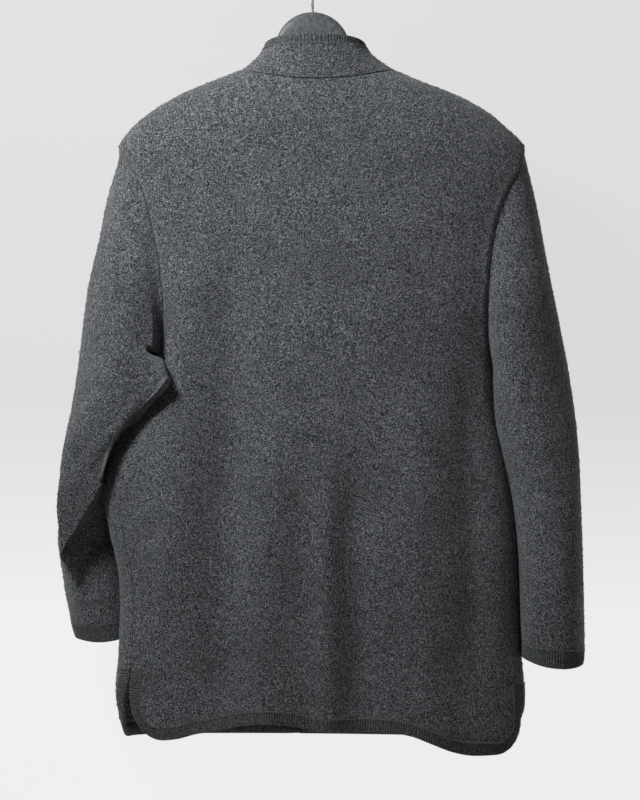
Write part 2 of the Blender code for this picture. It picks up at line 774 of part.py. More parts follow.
def collar_foot(way):
    """The collar's lower edge: outside and inside points just over the panels' edges."""
    lift = lap_lift(way, NECK_Z, 1, LAP_LIFT) if way > 0 else 0.0
    outside, inside = cloth_pair(way, NECK_Z, lift)
    rise = unit(body_point(way, NECK_Z) - body_point(way, NECK_Z - 0.002))
    return outside + rise * SEAM_GAP * 2, inside + rise * SEAM_GAP * 2


def collar_point(way, up):
    """A point of the collar's outside: up runs from 0 at the seam to 1 at the top edge."""
    foot = collar_foot(way)[0]
    ways = centre_fronts(NECK_Z)
    turn = math.pi / 2 - math.pi * (way / ways[1] if way > 0 else -way / ways[0])
    power = 2 / SQUARENESS
    across = math.copysign(abs(math.cos(turn)) ** power, math.cos(turn))
    deep = math.copysign(abs(math.sin(turn)) ** power, math.sin(turn))
    middle = (COLLAR_TOP_LEFT + COLLAR_TOP_RIGHT) / 2
    reach = (COLLAR_TOP_LEFT - COLLAR_TOP_RIGHT) / 2
    depth = COLLAR_TOP_BACK if deep > 0 else COLLAR_TOP_FRONT
    slope = (1 + math.sin(turn)) / 2
    top = np.array((
        middle + reach * across,
        depth * deep,
        COLLAR_FRONT_TOP_Z + (COLLAR_TOP_Z - COLLAR_FRONT_TOP_Z) * slope,
    ))
    pull = 1 - (1 - up) ** COLLAR_FLARE
    return foot + (top - foot) * np.array((pull, pull, up))


def collar_normal(way, up):
    along, rise = 0.003, 0.04
    around = collar_point(way + along, up) - collar_point(way - along, up)
    up_line = collar_point(way, min(up + rise, 1)) - collar_point(way, max(up - rise, 0))
    return unit(np.cross(up_line, around))


def collar():
    """A stand collar from the neck seam, and the rib band on its upper edge."""
    row = neck_row()
    top = 1 - COLLAR_BAND / (COLLAR_TOP_Z - NECK_Z + BACK_NECK_DROP)
    feet = [collar_foot(way) for way in row]
    outer = [[foot[0] for foot in feet]]
    inner = [[foot[1] for foot in feet]]
    for up in np.linspace(0, top, COLLAR_ROWS)[1:]:
        outer.append([collar_point(way, up) for way in row])
        inner.append([collar_point(way, up) - collar_normal(way, up) * WOOL for way in row])
    wall("collar", outer, inner, "wool")
    edge_out, edge_in = np.array(outer[-1]), np.array(inner[-1])

    def place(along, across):
        way = row[0] + (row[-1] - row[0]) * along
        if across == 0.0:
            return collar_point(way, 1.0), collar_normal(way, 1.0)
        outside, inside = (
            np.array([np.interp(way, row, edge[:, axis]) for axis in range(3)]) for edge in (edge_out, edge_in)
        )
        rise = unit(collar_point(way, 1.0) - collar_point(way, top))
        return outside + rise * SEAM_GAP * 1.5, unit(outside - inside)

    rib_band("band_collar", place, COLLAR_TOP_LENGTH)


# Hanger, hook and buttons


def ridge_height(x):
    """Height of the shoulder's ridge over this place across."""
    name = "left" if x > 0 else "right"
    order = np.argsort(np.abs(BODY[name][13:]))
    reach = np.abs(BODY[name][13:])[order]
    return float(np.interp(abs(x), reach, BODY["z"][13:][order]))


def hanger():
    """A neck plate with a half-round top, and two arms that run under the shoulder ridges."""
    plate_stops = [PLATE_RADIUS * math.sin(math.radians(a)) for a in range(-90, 91, 15)]
    left_stops = [0.043, 0.06, 0.085, 0.11, 0.135, 0.158, 0.172, ARM_REACH_LEFT]
    right_stops = [-ARM_REACH_RIGHT, -0.188, -0.172, -0.15, -0.128, -0.105, -0.082, -0.06, -0.043]
    sections = []
    for x in right_stops + plate_stops + left_stops:
        slope = 1.0 / math.cos(math.radians(24))
        top = ridge_height(x) - (WOOL + SEAM_GAP) * slope * 1.15
        if abs(x) < 0.078:
            top = min(top, ridge_height(math.copysign(0.078, x)) - 0.004)
        reach = ARM_REACH_LEFT if x > 0 else ARM_REACH_RIGHT
        out = abs(x) / reach
        bottom = top - ARM_HEIGHT * (1 - 0.35 * out)
        half = ARM_HALF_THICKNESS + (ARM_END_HALF_THICKNESS - ARM_HALF_THICKNESS) * ease(out * 1.3 - 0.3)
        if abs(x) <= PLATE_RADIUS:
            rise = math.sqrt(max(PLATE_RADIUS ** 2 - x * x, 0.0))
            top = max(top, PLATE_TOP_Z - PLATE_RADIUS + rise)
            half = PLATE_HALF_THICKNESS
        if out > 0.97:
            shrink = 0.6
            middle = (top + bottom) / 2 - 0.002
            top, bottom = middle + (top - middle) * shrink, middle + (bottom - middle) * shrink
            half *= shrink
        ring_points = []
        for k in range(10):
            turn = 2 * math.pi * k / 10 + math.pi / 10
            ring_points.append((
                x,
                half * math.cos(turn) / math.cos(math.pi / 10),
                (top + bottom) / 2 + (top - bottom) / 2 * math.sin(turn),
            ))
        sections.append(ring_points)
    vertices = [p for ring_points in sections for p in ring_points]
    faces = [tuple(range(10)), tuple(range(len(vertices) - 10, len(vertices)))]
    for s in range(len(sections) - 1):
        for k in range(10):
            n = (k + 1) % 10
            faces.append((s * 10 + k, s * 10 + n, s * 10 + 10 + n, s * 10 + 10 + k))
    return new_object("hanger", vertices, faces, "plastic")


def hook():
    """A wire hook: a straight stem, a small bend and a round crook, with its inside top at the origin."""
    centre_z = HOOK_WIRE - CROOK_RADIUS
    start = (CROOK_RADIUS * math.cos(CROOK_START), centre_z + CROOK_RADIUS * math.sin(CROOK_START))
    heading = CROOK_START + math.pi / 2
    turned = math.pi / 2 - heading
    bend_low = start[1] - STEM_BEND_RADIUS * math.sin(turned)
    points = [(0.0, PLATE_TOP_Z + SEAM_GAP), (0.0, (PLATE_TOP_Z + bend_low) / 2)]
    for k in range(5):
        angle = turned * k / 5
        points.append((STEM_BEND_RADIUS * (1 - math.cos(angle)), bend_low + STEM_BEND_RADIUS * math.sin(angle)))
    for k in range(19):
        angle = CROOK_START + (CROOK_END - CROOK_START) * k / 18
        points.append((CROOK_RADIUS * math.cos(angle), centre_z + CROOK_RADIUS * math.sin(angle)))
    curve = bpy.data.curves.new("hook", "CURVE")
    curve.dimensions = "3D"
    curve.bevel_depth = HOOK_WIRE
    curve.bevel_resolution = 2
    curve.use_fill_caps = True
    spline = curve.splines.new("POLY")
    spline.points.add(len(points) - 1)
    for point, (x, z) in zip(spline.points, points):
        point.co = (x, 0.0, z, 1.0)
    made = bpy.data.objects.new("hook", curve)
    bpy.data.collections["wool_jacket"].objects.link(made)
    curve.materials.append(material("steel"))
    return made


def button(number, level):
    """A plain round button on the upper front."""
    centre = centre_fronts(level)[1]
    normal = body_normal(centre, level)
    face = body_point(centre, level) + normal * LAP_LIFT
    bpy.ops.mesh.primitive_cylinder_add(vertices=16, radius=BUTTON_RADIUS, depth=BUTTON_THICKNESS)
    made = bpy.context.object
    made.name = f"button_{number}"
    for collection in list(made.users_collection):
        collection.objects.unlink(made)
    bpy.data.collections["wool_jacket"].objects.link(made)
    spot = face + normal * (BUTTON_THICKNESS / 2 + SEAM_GAP * 3)
    made.rotation_euler = (math.atan2(normal[2], -normal[1]) + math.pi / 2, 0.0, math.atan2(normal[0], -normal[1]))
    made.location = tuple(spot)
    bevel = made.modifiers.new("edge", "BEVEL")
    bevel.width = 0.001
    bevel.segments = 1
    bevel.limit_method = "ANGLE"
    made.data.materials.append(material("horn"))
    return made


def main():
    for old in list(bpy.data.objects):
        bpy.data.objects.remove(old)
    bpy.context.scene.collection.children.link(bpy.data.collections.new("wool_jacket"))
    back_panel()
    front_panel("front_left", 1, LAP_LIFT)
    front_panel("front_right", -1, 0.0)
    back_band()
    front_band("band_hem_front_left", 1, LAP_LIFT)
    front_band("band_hem_front_right", -1, 0.0)
    sleeve("sleeve_left", 1, SLEEVE_LEFT)
    sleeve("sleeve_right", -1, SLEEVE_RIGHT)
    collar()
    hanger()
    hook()
    for number, level in enumerate(BUTTON_HEIGHTS, 1):
        button(number, level)


main()
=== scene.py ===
"""Looks of a boiled wool jacket on its hanger, seen from the back.

The wool panels, sleeves, collar and rib bands are remade on the same surfaces as the plain solids,
with finer folds, rolled seams, knitted ribs, stitches and felted fibres. Metres, +Z up, +Y out of
the back, +X to the wearer's left, and the hook's inside top at the origin.
"""
import math

import bmesh
import bpy
import numpy as np
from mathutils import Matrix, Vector


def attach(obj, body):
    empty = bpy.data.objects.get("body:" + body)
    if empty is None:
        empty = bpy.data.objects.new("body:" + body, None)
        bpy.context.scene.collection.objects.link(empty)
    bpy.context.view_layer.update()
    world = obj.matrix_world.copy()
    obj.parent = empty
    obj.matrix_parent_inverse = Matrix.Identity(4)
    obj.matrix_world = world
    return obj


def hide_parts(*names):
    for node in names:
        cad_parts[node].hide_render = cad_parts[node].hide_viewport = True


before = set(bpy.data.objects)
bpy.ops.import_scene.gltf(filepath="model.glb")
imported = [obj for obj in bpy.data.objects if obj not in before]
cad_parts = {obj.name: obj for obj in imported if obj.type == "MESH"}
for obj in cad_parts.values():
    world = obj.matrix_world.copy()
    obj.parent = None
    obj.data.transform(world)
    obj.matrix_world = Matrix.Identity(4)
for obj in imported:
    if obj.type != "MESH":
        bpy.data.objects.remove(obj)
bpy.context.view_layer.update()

# Cloth
WOOL = 0.003
SEAM_GAP = 0.0003
SEAM_ROLL = 0.0011
SEAM_BLEND = 0.014
BAND_WIDTH = 0.015
BAND_WALL = 0.0024
RIB_PITCH = 0.0029
RIB_RELIEF = 0.0009
RIB_COLUMNS = 6
RIB_POWER = 0.7
RIB_LIFT = 1.7
RIB_SINK = 0.7
KNIT_STITCH = 0.0025
KNIT_ROWS = 25
KNIT_BASE = 0.72
KNIT_SWING = 0.28
KNIT_OFFSET = 1.9

# Body, measured from the hook: heights are negative
MIDDLE_X = -0.006
NECK_Z = -0.129
SHOULDER_TIP_Z = -0.215
ARMHOLE_ROUND_Z = -0.430
ARMPIT_Z = -0.4625
HEM_Z = -0.890
SLIT_HEIGHT = 0.077
SLIT_MIDDLE_Z = HEM_Z + 0.04
CORNER_RADIUS = 0.033
SLIT_OPENING_LEFT = 0.014
SLIT_OPENING_RIGHT = 0.030
SLIT_OPENING_HEIGHT = 0.055
SLIT_TOP_GAP = 0.0006
BACK_NECK_DROP = 0.014
FRONT_NECK_DROP = 0.072
NECK_DROP_REACH = 0.10
HEM_WAVE_REACH = 0.30
HEM_TURN = 0.03
BACK_SHIFT_REACH = 0.18
FRONT_SHIFT_REACH = 0.15
SQUARENESS = 2.4
BODY_MIDDLE = (0.9, 0.0, 1.0)
LAP = 0.012
LAP_LIFT = 0.0048
LIFT_START = 0.045
LIFT_REACH = 0.035
WELT_PLACE = 0.0062
WELT_WIDTH = 0.0036
WELT_HEIGHT = 0.0011
WELT_FADE = 0.012

# Collar
COLLAR_TOP_Z = -0.0918
COLLAR_FRONT_TOP_Z = -0.142
COLLAR_TOP_LEFT = 0.0545
COLLAR_TOP_RIGHT = -0.0605
COLLAR_TOP_BACK = 0.046
COLLAR_TOP_FLATNESS = 0.3
COLLAR_TOP_FRONT = 0.050
COLLAR_BAND = 0.0115
COLLAR_SEAM = 1 - COLLAR_BAND / (COLLAR_TOP_Z - NECK_Z + BACK_NECK_DROP)
COLLAR_FLARE = 1.55
COLLAR_END_GAP = 0.0006
COLLAR_TOP_LENGTH = 0.31
COLLAR_COLUMNS = 150
COLLAR_BAND_ROWS = 18
COLLAR_ROLL = 16
COLLAR_ROLL_SHARE = 0.2
COLLAR_MIDDLE = (0.8, 0.8, 1.0)

# Hanger and hook
HOOK_WIRE = 0.0016
CROOK_RADIUS = 0.020
STEM_BEND_RADIUS = 0.0104
CROOK_START = math.radians(-70)
CROOK_END = math.radians(200)
PLATE_TOP_Z = -0.062
PLATE_RADIUS = 0.0426
PLATE_HALF_THICKNESS = 0.005
ARM_REACH_LEFT = 0.178
ARM_REACH_RIGHT = 0.196
ARM_HEIGHT = 0.024
ARM_HALF_THICKNESS = 0.006
ARM_END_HALF_THICKNESS = 0.013
ARM_START = 0.0432
ARM_TAPER = 0.35
ARM_SWELL_RATE = 1.3
ARM_SWELL_START = 0.3
ARM_TIP_FROM = 0.94
ARM_TIP_SPAN = 0.06
ARM_TIP_LEAST = 0.05
ARM_CLEARANCE = 1.15
SHOULDER_SLOPE = math.radians(24)
PLATE_BLEND = 0.078
PLATE_BLEND_DROP = 0.004
RIDGE_FIRST_ROW = 13
PLATE_COLUMNS = 41
ARM_COLUMNS_LEFT = 44
ARM_COLUMNS_RIGHT = 46
HANGER_ROUND = 24
HANGER_SIDE_POWER = 0.7
HANGER_TOP_POWER = 0.85
STEM_SINK = 0.004
STEM_ROWS = 8
BEND_ROWS = 13
CROOK_ROWS = 61
HOOK_ROUND = 16
HOOK_TIP = (0.92, 0.75, 0.4)

# Buttons
BUTTON_RADIUS = 0.0105
BUTTON_THICKNESS = 0.004
BUTTON_HEIGHTS = (-0.262, -0.361, -0.460, -0.559, -0.658)
BUTTON_AXIS_RADIUS = 0.0004
BUTTON_ROUND = 48
HOLE_COUNT = 4
HOLE_PLACE = 0.0022
HOLE_RADIUS = 0.0009
HOLE_DEPTH = 0.01
HOLE_ROUND = 16

# Thread and fibres
CHAIN_LIFT = 0.0012
STITCH_OVERLAP = 1.12
ARC_PULL = 0.55
ARC_STEPS = 4
THREAD_ROUND = 5
FIBRE_ROUND = 3
CHAIN_SIZES = {"Stitch": 0.0030, "Thread": 0.00028, "Rise": 0.0006, "Loop": 0.0009}
FIBRE_SIZES = {
    "Fibres per Square Metre": 30000.0, "Fibre Length": 0.0052, "Fibre Radius": 0.00022, "Rise": 0.0008,
    "Curl": 0.0022,
}
FIBRE_TURN = ((-0.25, -0.25, 0.0), (0.25, 0.25, 2 * math.pi))
FIBRE_SCALE = ((0.5, -1.0, 0.3), (1.3, 1.0, 1.2))

# Finishes: dark, middle and light wool, and the sizes of its speckle, curled fibres and clouds
WOOL_SHADES = {
    "boiled_wool": ((0.006, 0.008, 0.011), (0.037, 0.041, 0.045), (0.32, 0.33, 0.345)),
    "rib_knit": ((0.016, 0.0185, 0.020), (0.056, 0.061, 0.063), (0.21, 0.22, 0.225)),
}
FIBRE_SHADES = ((0.018, 0.020, 0.022), (0.24, 0.25, 0.25))
WOOL_SHEEN = (0.62, 0.66, 0.68, 1.0)
SPECK_NOISE = {"scale": 640.0, "detail": 3.0, "roughness": 0.62, "distortion": 0.4}
SPECK_STOPS = (0.36, 0.5, 0.66)
CURL_NOISE = {"detail": 1.0, "roughness": 0.4, "distortion": 0.6}
PALE_SCALE = 380.0
PALE_WIDTH = 0.04
PALE_SHARE = 0.75
DEEP_SCALE = 340.0
DEEP_WIDTH = 0.035
DEEP_SHARE = 0.7
DEEP_SHIFT = (0.37, 0.21, 0.53)
CLOUD_NOISE = {"scale": 16.0, "detail": 3.0}
CLOUD_STOPS = ((0.25, 0.82), (0.75, 1.15))
WOOL_BUMP = 0.75
WOOL_BUMP_DEPTH = 0.0007

# Dark and light colour, scale of the grain, roughness, and the grain's strength and depth
PLAIN_FINISHES = {
    "stitch_thread": ((0.11, 0.115, 0.118), (0.19, 0.195, 0.2), 900.0, 0.7, 0.4, 0.0002),
    "button_horn": ((0.030, 0.026, 0.024), (0.085, 0.070, 0.058), 160.0, 0.35, 0.15, 0.0002),
    "hanger_plastic": ((0.030, 0.033, 0.036), (0.13, 0.14, 0.145), 240.0, 0.5, 0.25, 0.0003),
    "hook_steel": ((0.42, 0.43, 0.44), (0.62, 0.63, 0.64), 300.0, 0.25, 0.1, 0.0001),
    "floor_paint": ((0.80, 0.80, 0.79), (0.84, 0.84, 0.83), 30.0, 0.9, 0.1, 0.001),
}

# Camera, stage and lights
CAMERA_PLACE = (-0.0086, 3.2, -0.506)
CAMERA_LENS = 125.8
CAMERA_SENSOR = 36.0
WALL_Y = -0.13
FLOOR_Z = -1.6
STAGE_REACH = 4.0
WALL_PAINT = 0.06
# Painted light on the wall: its glow by height, as place and brightness, brighter towards the floor and
# darker upwards
WALL_GLOW = ((0.242, 0.838), (0.288, 0.808), (0.356, 0.771), (0.414, 0.734), (0.494, 0.690))
SKY_COLOUR = (0.96, 0.98, 1.0, 1.0)
SKY_STRENGTH = 0.07
# Name, place, aim, size, power, colour and spread of each lamp
LAMPS = (
    ("key", (0.80, 0.88, 0.52), (0.06, 0.0, -0.24), 0.45, 6.2, (0.99, 0.99, 1.0), math.radians(84)),
    ("fill", (-2.2, 2.2, -0.2), (0.0, 0.0, -0.5), 2.0, 1.6, (0.95, 0.98, 1.0), math.pi),
)


def table(columns, *rows):
    """A table with named columns, one row for each section or fold."""
    return {name: np.array(values) for name, values in zip(columns.split(), zip(*rows))}


# Rings of the body: height, side to side reach from the middle line, and depth
BODY = table(
    "z left right back front",
    (-0.930, 0.1980, -0.2250, 0.066, 0.064),
    (-0.890, 0.2140, -0.2385, 0.066, 0.064),
    (-0.845, 0.2245, -0.2425, 0.065, 0.064),
    (-0.790, 0.2215, -0.2385, 0.065, 0.064),
    (-0.700, 0.2225, -0.2355, 0.065, 0.064),
    (-0.650, 0.2335, -0.2330, 0.064, 0.064),
    (-0.600, 0.2420, -0.2280, 0.064, 0.064),
    (-0.550, 0.2315, -0.2180, 0.063, 0.064),
    (-0.500, 0.2010, -0.2100, 0.063, 0.064),
    (-0.440, 0.1840, -0.2085, 0.062, 0.064),
    (-0.350, 0.2080, -0.2330, 0.061, 0.062),
    (-0.270, 0.2220, -0.2450, 0.060, 0.060),
    (-0.235, 0.2245, -0.2470, 0.059, 0.058),
    (-0.215, 0.2215, -0.2420, 0.058, 0.056),
    (-0.195, 0.2060, -0.2220, 0.057, 0.054),
    (-0.176, 0.1835, -0.1990, 0.055, 0.052),
    (-0.158, 0.1530, -0.1660, 0.052, 0.050),
    (-0.140, 0.1110, -0.1200, 0.048, 0.047),
    (-0.129, 0.0815, -0.0940, 0.045, 0.045),
)

# Armhole seam seen on the back, and the side seam, as distances across from the hook
ARMHOLE = table(
    "z left right",
    (-0.440, 0.1700, -0.1995),
    (-0.400, 0.1690, -0.1985),
    (-0.370, 0.1710, -0.2000),
    (-0.340, 0.1755, -0.2030),
    (-0.300, 0.1840, -0.2110),
    (-0.270, 0.1920, -0.2225),
    (-0.240, 0.2070, -0.2370),
    (-0.215, 0.2215, -0.2420),
)
SIDE_SEAM_INSET_LEFT = 0.017
SIDE_SEAM_INSET_RIGHT = 0.004

# Lower edge of the back and of the fronts, across the body
BACK_HEM = table(
    "x z",
    (-0.245, -0.906),
    (-0.200, -0.908),
    (-0.178, -0.907),
    (-0.157, -0.902),
    (-0.135, -0.893),
    (-0.112, -0.884),
    (-0.088, -0.880),
    (-0.035, -0.879),
    (0.000, -0.877),
    (0.022, -0.872),
    (0.052, -0.870),
    (0.085, -0.873),
    (0.113, -0.879),
    (0.131, -0.882),
    (0.152, -0.888),
    (0.178, -0.891),
    (0.230, -0.888),
)
FRONT_HEM = table(
    "x z",
    (-0.245, -0.897),
    (-0.100, -0.896),
    (0.000, -0.895),
    (0.100, -0.894),
    (0.230, -0.892),
)

# Soft folds of the back: place at the top and bottom, half width and height of the wave
FOLDS = table(
    "x_top z_top x_low z_low width wave",
    (0.140, -0.300, 0.168, -0.760, 0.026, 0.0075),
    (0.086, -0.320, 0.108, -0.900, 0.024, -0.0095),
    (0.040, -0.500, 0.052, -0.960, 0.026, 0.0060),
    (-0.012, -0.560, -0.020, -0.960, 0.016, 0.0075),
    (-0.048, -0.540, -0.060, -0.960, 0.020, -0.0085),
    (-0.118, -0.460, -0.136, -0.960, 0.030, 0.0075),
    (-0.176, -0.400, -0.184, -0.860, 0.018, -0.0050),
)
FOLD_FADE = 0.10
FOLD_SIDE_FADE = 1.4

# Sleeves: outer and inner edge of each section, half thickness, and how far it has left the armhole
SLEEVE = "t out_x out_y out_z in_x in_y in_z half leave"
SLEEVE_LEFT = table(
    SLEEVE,
    (0.0, 0.2215, 0.000, -0.215, 0.1880, 0.010, -0.4560, 0.050, 0.00),
    (0.5, 0.2300, 0.000, -0.244, 0.1950, 0.012, -0.4570, 0.052, 0.30),
    (1.0, 0.2405, 0.000, -0.278, 0.1930, 0.022, -0.4560, 0.050, 0.65),
    (2.0, 0.2475, -0.002, -0.330, 0.1845, 0.042, -0.4560, 0.044, 1.00),
    (3.0, 0.2550, -0.004, -0.391, 0.1750, 0.059, -0.4590, 0.037, 1.00),
    (4.0, 0.2620, -0.006, -0.450, 0.1690, 0.067, -0.4670, 0.032, 1.00),
    (5.0, 0.2700, -0.008, -0.512, 0.1655, 0.072, -0.4770, 0.028, 1.00),
    (6.0, 0.2825, -0.010, -0.578, 0.1655, 0.072, -0.4880, 0.027, 1.00),
    (6.6, 0.2865, -0.014, -0.606, 0.1840, 0.058, -0.5080, 0.020, 1.00),
    (7.2, 0.2890, -0.018, -0.634, 0.2110, 0.041, -0.5360, 0.018, 1.00),
    (8.0, 0.2915, -0.026, -0.665, 0.2385, 0.008, -0.5800, 0.021, 1.00),
    (9.0, 0.2910, -0.038, -0.692, 0.2320, -0.038, -0.6350, 0.030, 1.00),
    (10.0, 0.2870, -0.044, -0.724, 0.2190, -0.056, -0.6920, 0.041, 1.00),
    (11.0, 0.2795, -0.048, -0.765, 0.2110, -0.062, -0.7570, 0.044, 1.00),
    (12.0, 0.2740, -0.049, -0.783, 0.2080, -0.063, -0.7735, 0.044, 1.00),
)
SLEEVE_RIGHT = table(
    SLEEVE,
    (0.0, -0.2420, 0.000, -0.215, -0.2120, 0.000, -0.4560, 0.050, 0.00),
    (0.5, -0.2510, 0.000, -0.242, -0.2075, 0.004, -0.4600, 0.054, 0.30),
    (1.0, -0.2595, 0.000, -0.277, -0.2045, 0.010, -0.4640, 0.057, 0.65),
    (2.0, -0.2680, -0.002, -0.335, -0.2035, 0.024, -0.4720, 0.055, 1.00),
    (3.0, -0.2750, -0.004, -0.392, -0.2070, 0.038, -0.4870, 0.044, 1.00),
    (4.0, -0.2830, -0.006, -0.450, -0.2110, 0.047, -0.5060, 0.037, 1.00),
    (5.0, -0.2905, -0.006, -0.506, -0.2150, 0.043, -0.5330, 0.038, 1.00),
    (6.0, -0.2965, -0.004, -0.560, -0.2220, 0.034, -0.5680, 0.042, 1.00),
    (7.0, -0.3010, 0.000, -0.621, -0.2305, 0.024, -0.6250, 0.046, 1.00),
    (8.0, -0.3070, 0.004, -0.690, -0.2345, 0.013, -0.6900, 0.049, 1.00),
    (9.0, -0.3098, 0.006, -0.748, -0.2362, 0.006, -0.7450, 0.049, 1.00),
    (10.0, -0.3100, 0.006, -0.790, -0.2380, 0.006, -0.7840, 0.048, 1.00),
    (11.0, -0.3085, 0.006, -0.8065, -0.2385, 0.006, -0.7990, 0.047, 1.00),
)
ARMHOLE_SECTIONS = 3
CUFF_SECTION = 1.0
CUFF_SAG = 0.006
SLEEVE_SQUARENESS = 2.3

# Fine creases, seen on the back: the line's two ends, its half width and the height of its wave
CREASES = table(
    "x_start z_start x_end z_end width wave",
    (0.160, -0.478, 0.262, -0.606, 0.006, -0.0030),
    (0.166, -0.470, 0.268, -0.590, 0.007, 0.0016),
    (0.176, -0.300, 0.150, -0.420, 0.012, 0.0012),
    (-0.205, -0.300, -0.190, -0.430, 0.012, 0.0012),
    (-0.240, -0.420, -0.252, -0.620, 0.009, -0.0014),
    (-0.214, -0.470, -0.270, -0.560, 0.008, 0.0014),
    (0.240, -0.300, 0.228, -0.470, 0.010, -0.0012),
    (0.268, -0.640, 0.246, -0.760, 0.008, 0.0012),
    (-0.282, -0.600, -0.276, -0.780, 0.009, 0.0012),
)
CREASE_FACING = 2.5
CREASE_ENDS = (0.06, 0.94)

# The left sleeve's fold at the elbow: a flat flap whose lower edge runs along this line
FLAP = table(
    "x z y",
    (0.156, -0.470, 0.060),
    (0.161, -0.488, 0.060),
    (0.181, -0.511, 0.058),
    (0.207, -0.556, 0.052),
    (0.2346, -0.5956, 0.040),
    (0.2697, -0.656, 0.024),
)
FLAP_HEIGHT = 0.100
FLAP_FADE = 0.080
FLAP_DROP = 0.020
FLAP_EDGE = 0.003
FLAP_RECOVER = 0.05
FLAP_BACK = 3.0
FLAP_FIRST = 0.1
FLAP_IN = 0.9

# Sampling
ROLL_STEPS = np.array((0.0, 0.0003, 0.0007, 0.0012, 0.0019, 0.0029, 0.0043, 0.0062, 0.0085, 0.0110))
ROLL_STRIP = 0.014
BACK_COLUMNS = 110
FRONT_COLUMNS = 60
SHOULDER_ROWS = 16
ARMHOLE_ROWS = 40
ARMPIT_ROWS = 9
BODY_ROWS = 62
SLIT_ROWS = 9
SLIT_TOP_STEP = 0.0004
CORNER_ROWS = 17
SLIT_TABLE_ROWS = 21
SLIT_TABLE_MARGIN = 0.002
LOOP_POINTS = 96
SEAM_SHIFT = 1.3
MITRE_SOFTNESS = 1.2
SLEEVE_STOPS = 150
SLEEVE_ROLL = 9
SLEEVE_ROLL_SPAN = 0.12
SECTION_STEP = 0.3
CUFF_PROBES = 60
SMOOTH_ROUNDS = 60
SMOOTH_END = 5.5
SMOOTH_FADE = 2.5
COLLAR_ROWS = 22
NORMAL_STEP = 0.002
RING_STEP = 0.001
RING_SAMPLES = 361
RING_OVERLAP = 0.3
FRONT_SEARCH = 0.25
RING_HEIGHTS = np.arange(-0.955, -0.110, RING_STEP)
RING_WAYS = np.arange(-0.680, 0.6805, RING_STEP)
RIGHT_SIDE, LEFT_SIDE, RIGHT_CENTRE, LEFT_CENTRE = range(4)


def smooth(keys, values, at):
    """A cubic through the rows of a table, with each row's slope taken from its neighbours."""
    slopes = np.gradient(values, keys)
    low = np.clip(np.searchsorted(keys, at) - 1, 0, len(keys) - 2)
    span = keys[low + 1] - keys[low]
    t = np.clip((at - keys[low]) / span, 0.0, 1.0)
    start = (1 + 2 * t) * (1 - t) ** 2 * values[low] + t * (1 - t) ** 2 * span * slopes[low]
    end = t * t * (3 - 2 * t) * values[low + 1] + t * t * (t - 1) * span * slopes[low + 1]
    return start + end


def ease(t):
    """A soft step from 0 to 1."""
    t = np.clip(t, 0.0, 1.0)
    return t * t * (3 - 2 * t)


def unit(vectors):
    return vectors / np.maximum(np.linalg.norm(vectors, axis=-1, keepdims=True), 1e-9)


def all_round(count):
    """Evenly spaced angles of one full turn."""
    return np.arange(count) * 2 * math.pi / count


def squared(value, power):
    """A sine or cosine raised to a power with its sign kept, which makes a round form squarer."""
    return np.sign(value) * np.abs(value) ** power


# The body's surface, reached by the distance round from the centre back and the height


def make_rings():
    """Every level ring of the body on one grid, and where each one's sides and centre front lie."""
    turn = np.linspace(1.5 * math.pi + RING_OVERLAP, -0.5 * math.pi - RING_OVERLAP, RING_SAMPLES)
    across, deep = squared(np.cos(turn), 2 / SQUARENESS), squared(np.sin(turn), 2 / SQUARENESS)
    sides = ("left", "right", "back", "front")
    xs, ys, marks = [], [], []
    for z in RING_HEIGHTS:
        left, right, back, front = (smooth(BODY["z"], BODY[side], z) for side in sides)
        x = MIDDLE_X + across * np.where(across > 0, left - MIDDLE_X, MIDDLE_X - right)
        y = deep * np.where(deep > 0, back, front)
        way = np.concatenate(([0.0], np.cumsum(np.hypot(np.diff(x), np.diff(y)))))
        way -= np.interp(-math.pi / 2, -turn, way)
        xs.append(np.interp(RING_WAYS, way, x))
        ys.append(np.interp(RING_WAYS, way, y))
        marks.append(np.interp((-math.pi, 0.0, -1.5 * math.pi, 0.5 * math.pi), -turn, way))
    return np.array(xs), np.array(ys), np.array(marks)


RING_X, RING_Y, RING_MARKS = make_rings()


def ring_at(grid, way, z):
    """A value of the ring grid between its rows and columns."""
    row = (z - RING_HEIGHTS[0]) / RING_STEP
    column = (way - RING_WAYS[0]) / RING_STEP
    r = np.clip(np.floor(row).astype(int), 0, len(RING_HEIGHTS) - 2)
    c = np.clip(np.floor(column).astype(int), 0, len(RING_WAYS) - 2)
    u, v = row - r, column - c
    upper = grid[r, c] * (1 - v) + grid[r, c + 1] * v
    lower = grid[r + 1, c] * (1 - v) + grid[r + 1, c + 1] * v
    return upper * (1 - u) + lower * u


def mark(z, kind):
    return np.interp(z, RING_HEIGHTS, RING_MARKS[:, kind])


def fold_wave(x, z):
    """How far the soft folds push the back out."""
    total = 0.0
    for x_top, z_top, x_low, z_low, width, wave in zip(*FOLDS.values()):
        along = (z_top - z) / (z_top - z_low)
        centre = x_top + (x_low - x_top) * along
        fade = ease((z_top - z) / FOLD_FADE) * ease((z - z_low) / FOLD_FADE)
        total = total + wave * fade * np.exp(-((x - centre) / width) ** 2)
    return total


def drop_at(x, y, z):
    """How far the neckline's curve lowers a level near the top."""
    reach = np.maximum(NECK_Z - z, 0.0) / NECK_DROP_REACH
    left, right = smooth(BODY["z"], BODY["left"], z), smooth(BODY["z"], BODY["right"], z)
    edge = np.where(x > MIDDLE_X, left, right)
    round_off = np.maximum(1 - ((x - MIDDLE_X) / (edge - MIDDLE_X)) ** 2, 0.0)
    return np.where(y > 0, BACK_NECK_DROP, FRONT_NECK_DROP) * (1 - ease(reach)) * round_off


def front_share(way, height):
    """0 on the back, and 1 on the front past the turn of the side."""
    left = mark(height, LEFT_SIDE) - SIDE_SEAM_INSET_LEFT
    right = -mark(height, RIGHT_SIDE) - SIDE_SEAM_INSET_RIGHT
    return ease((np.abs(way) - np.where(way > 0, left, right)) / HEM_TURN)


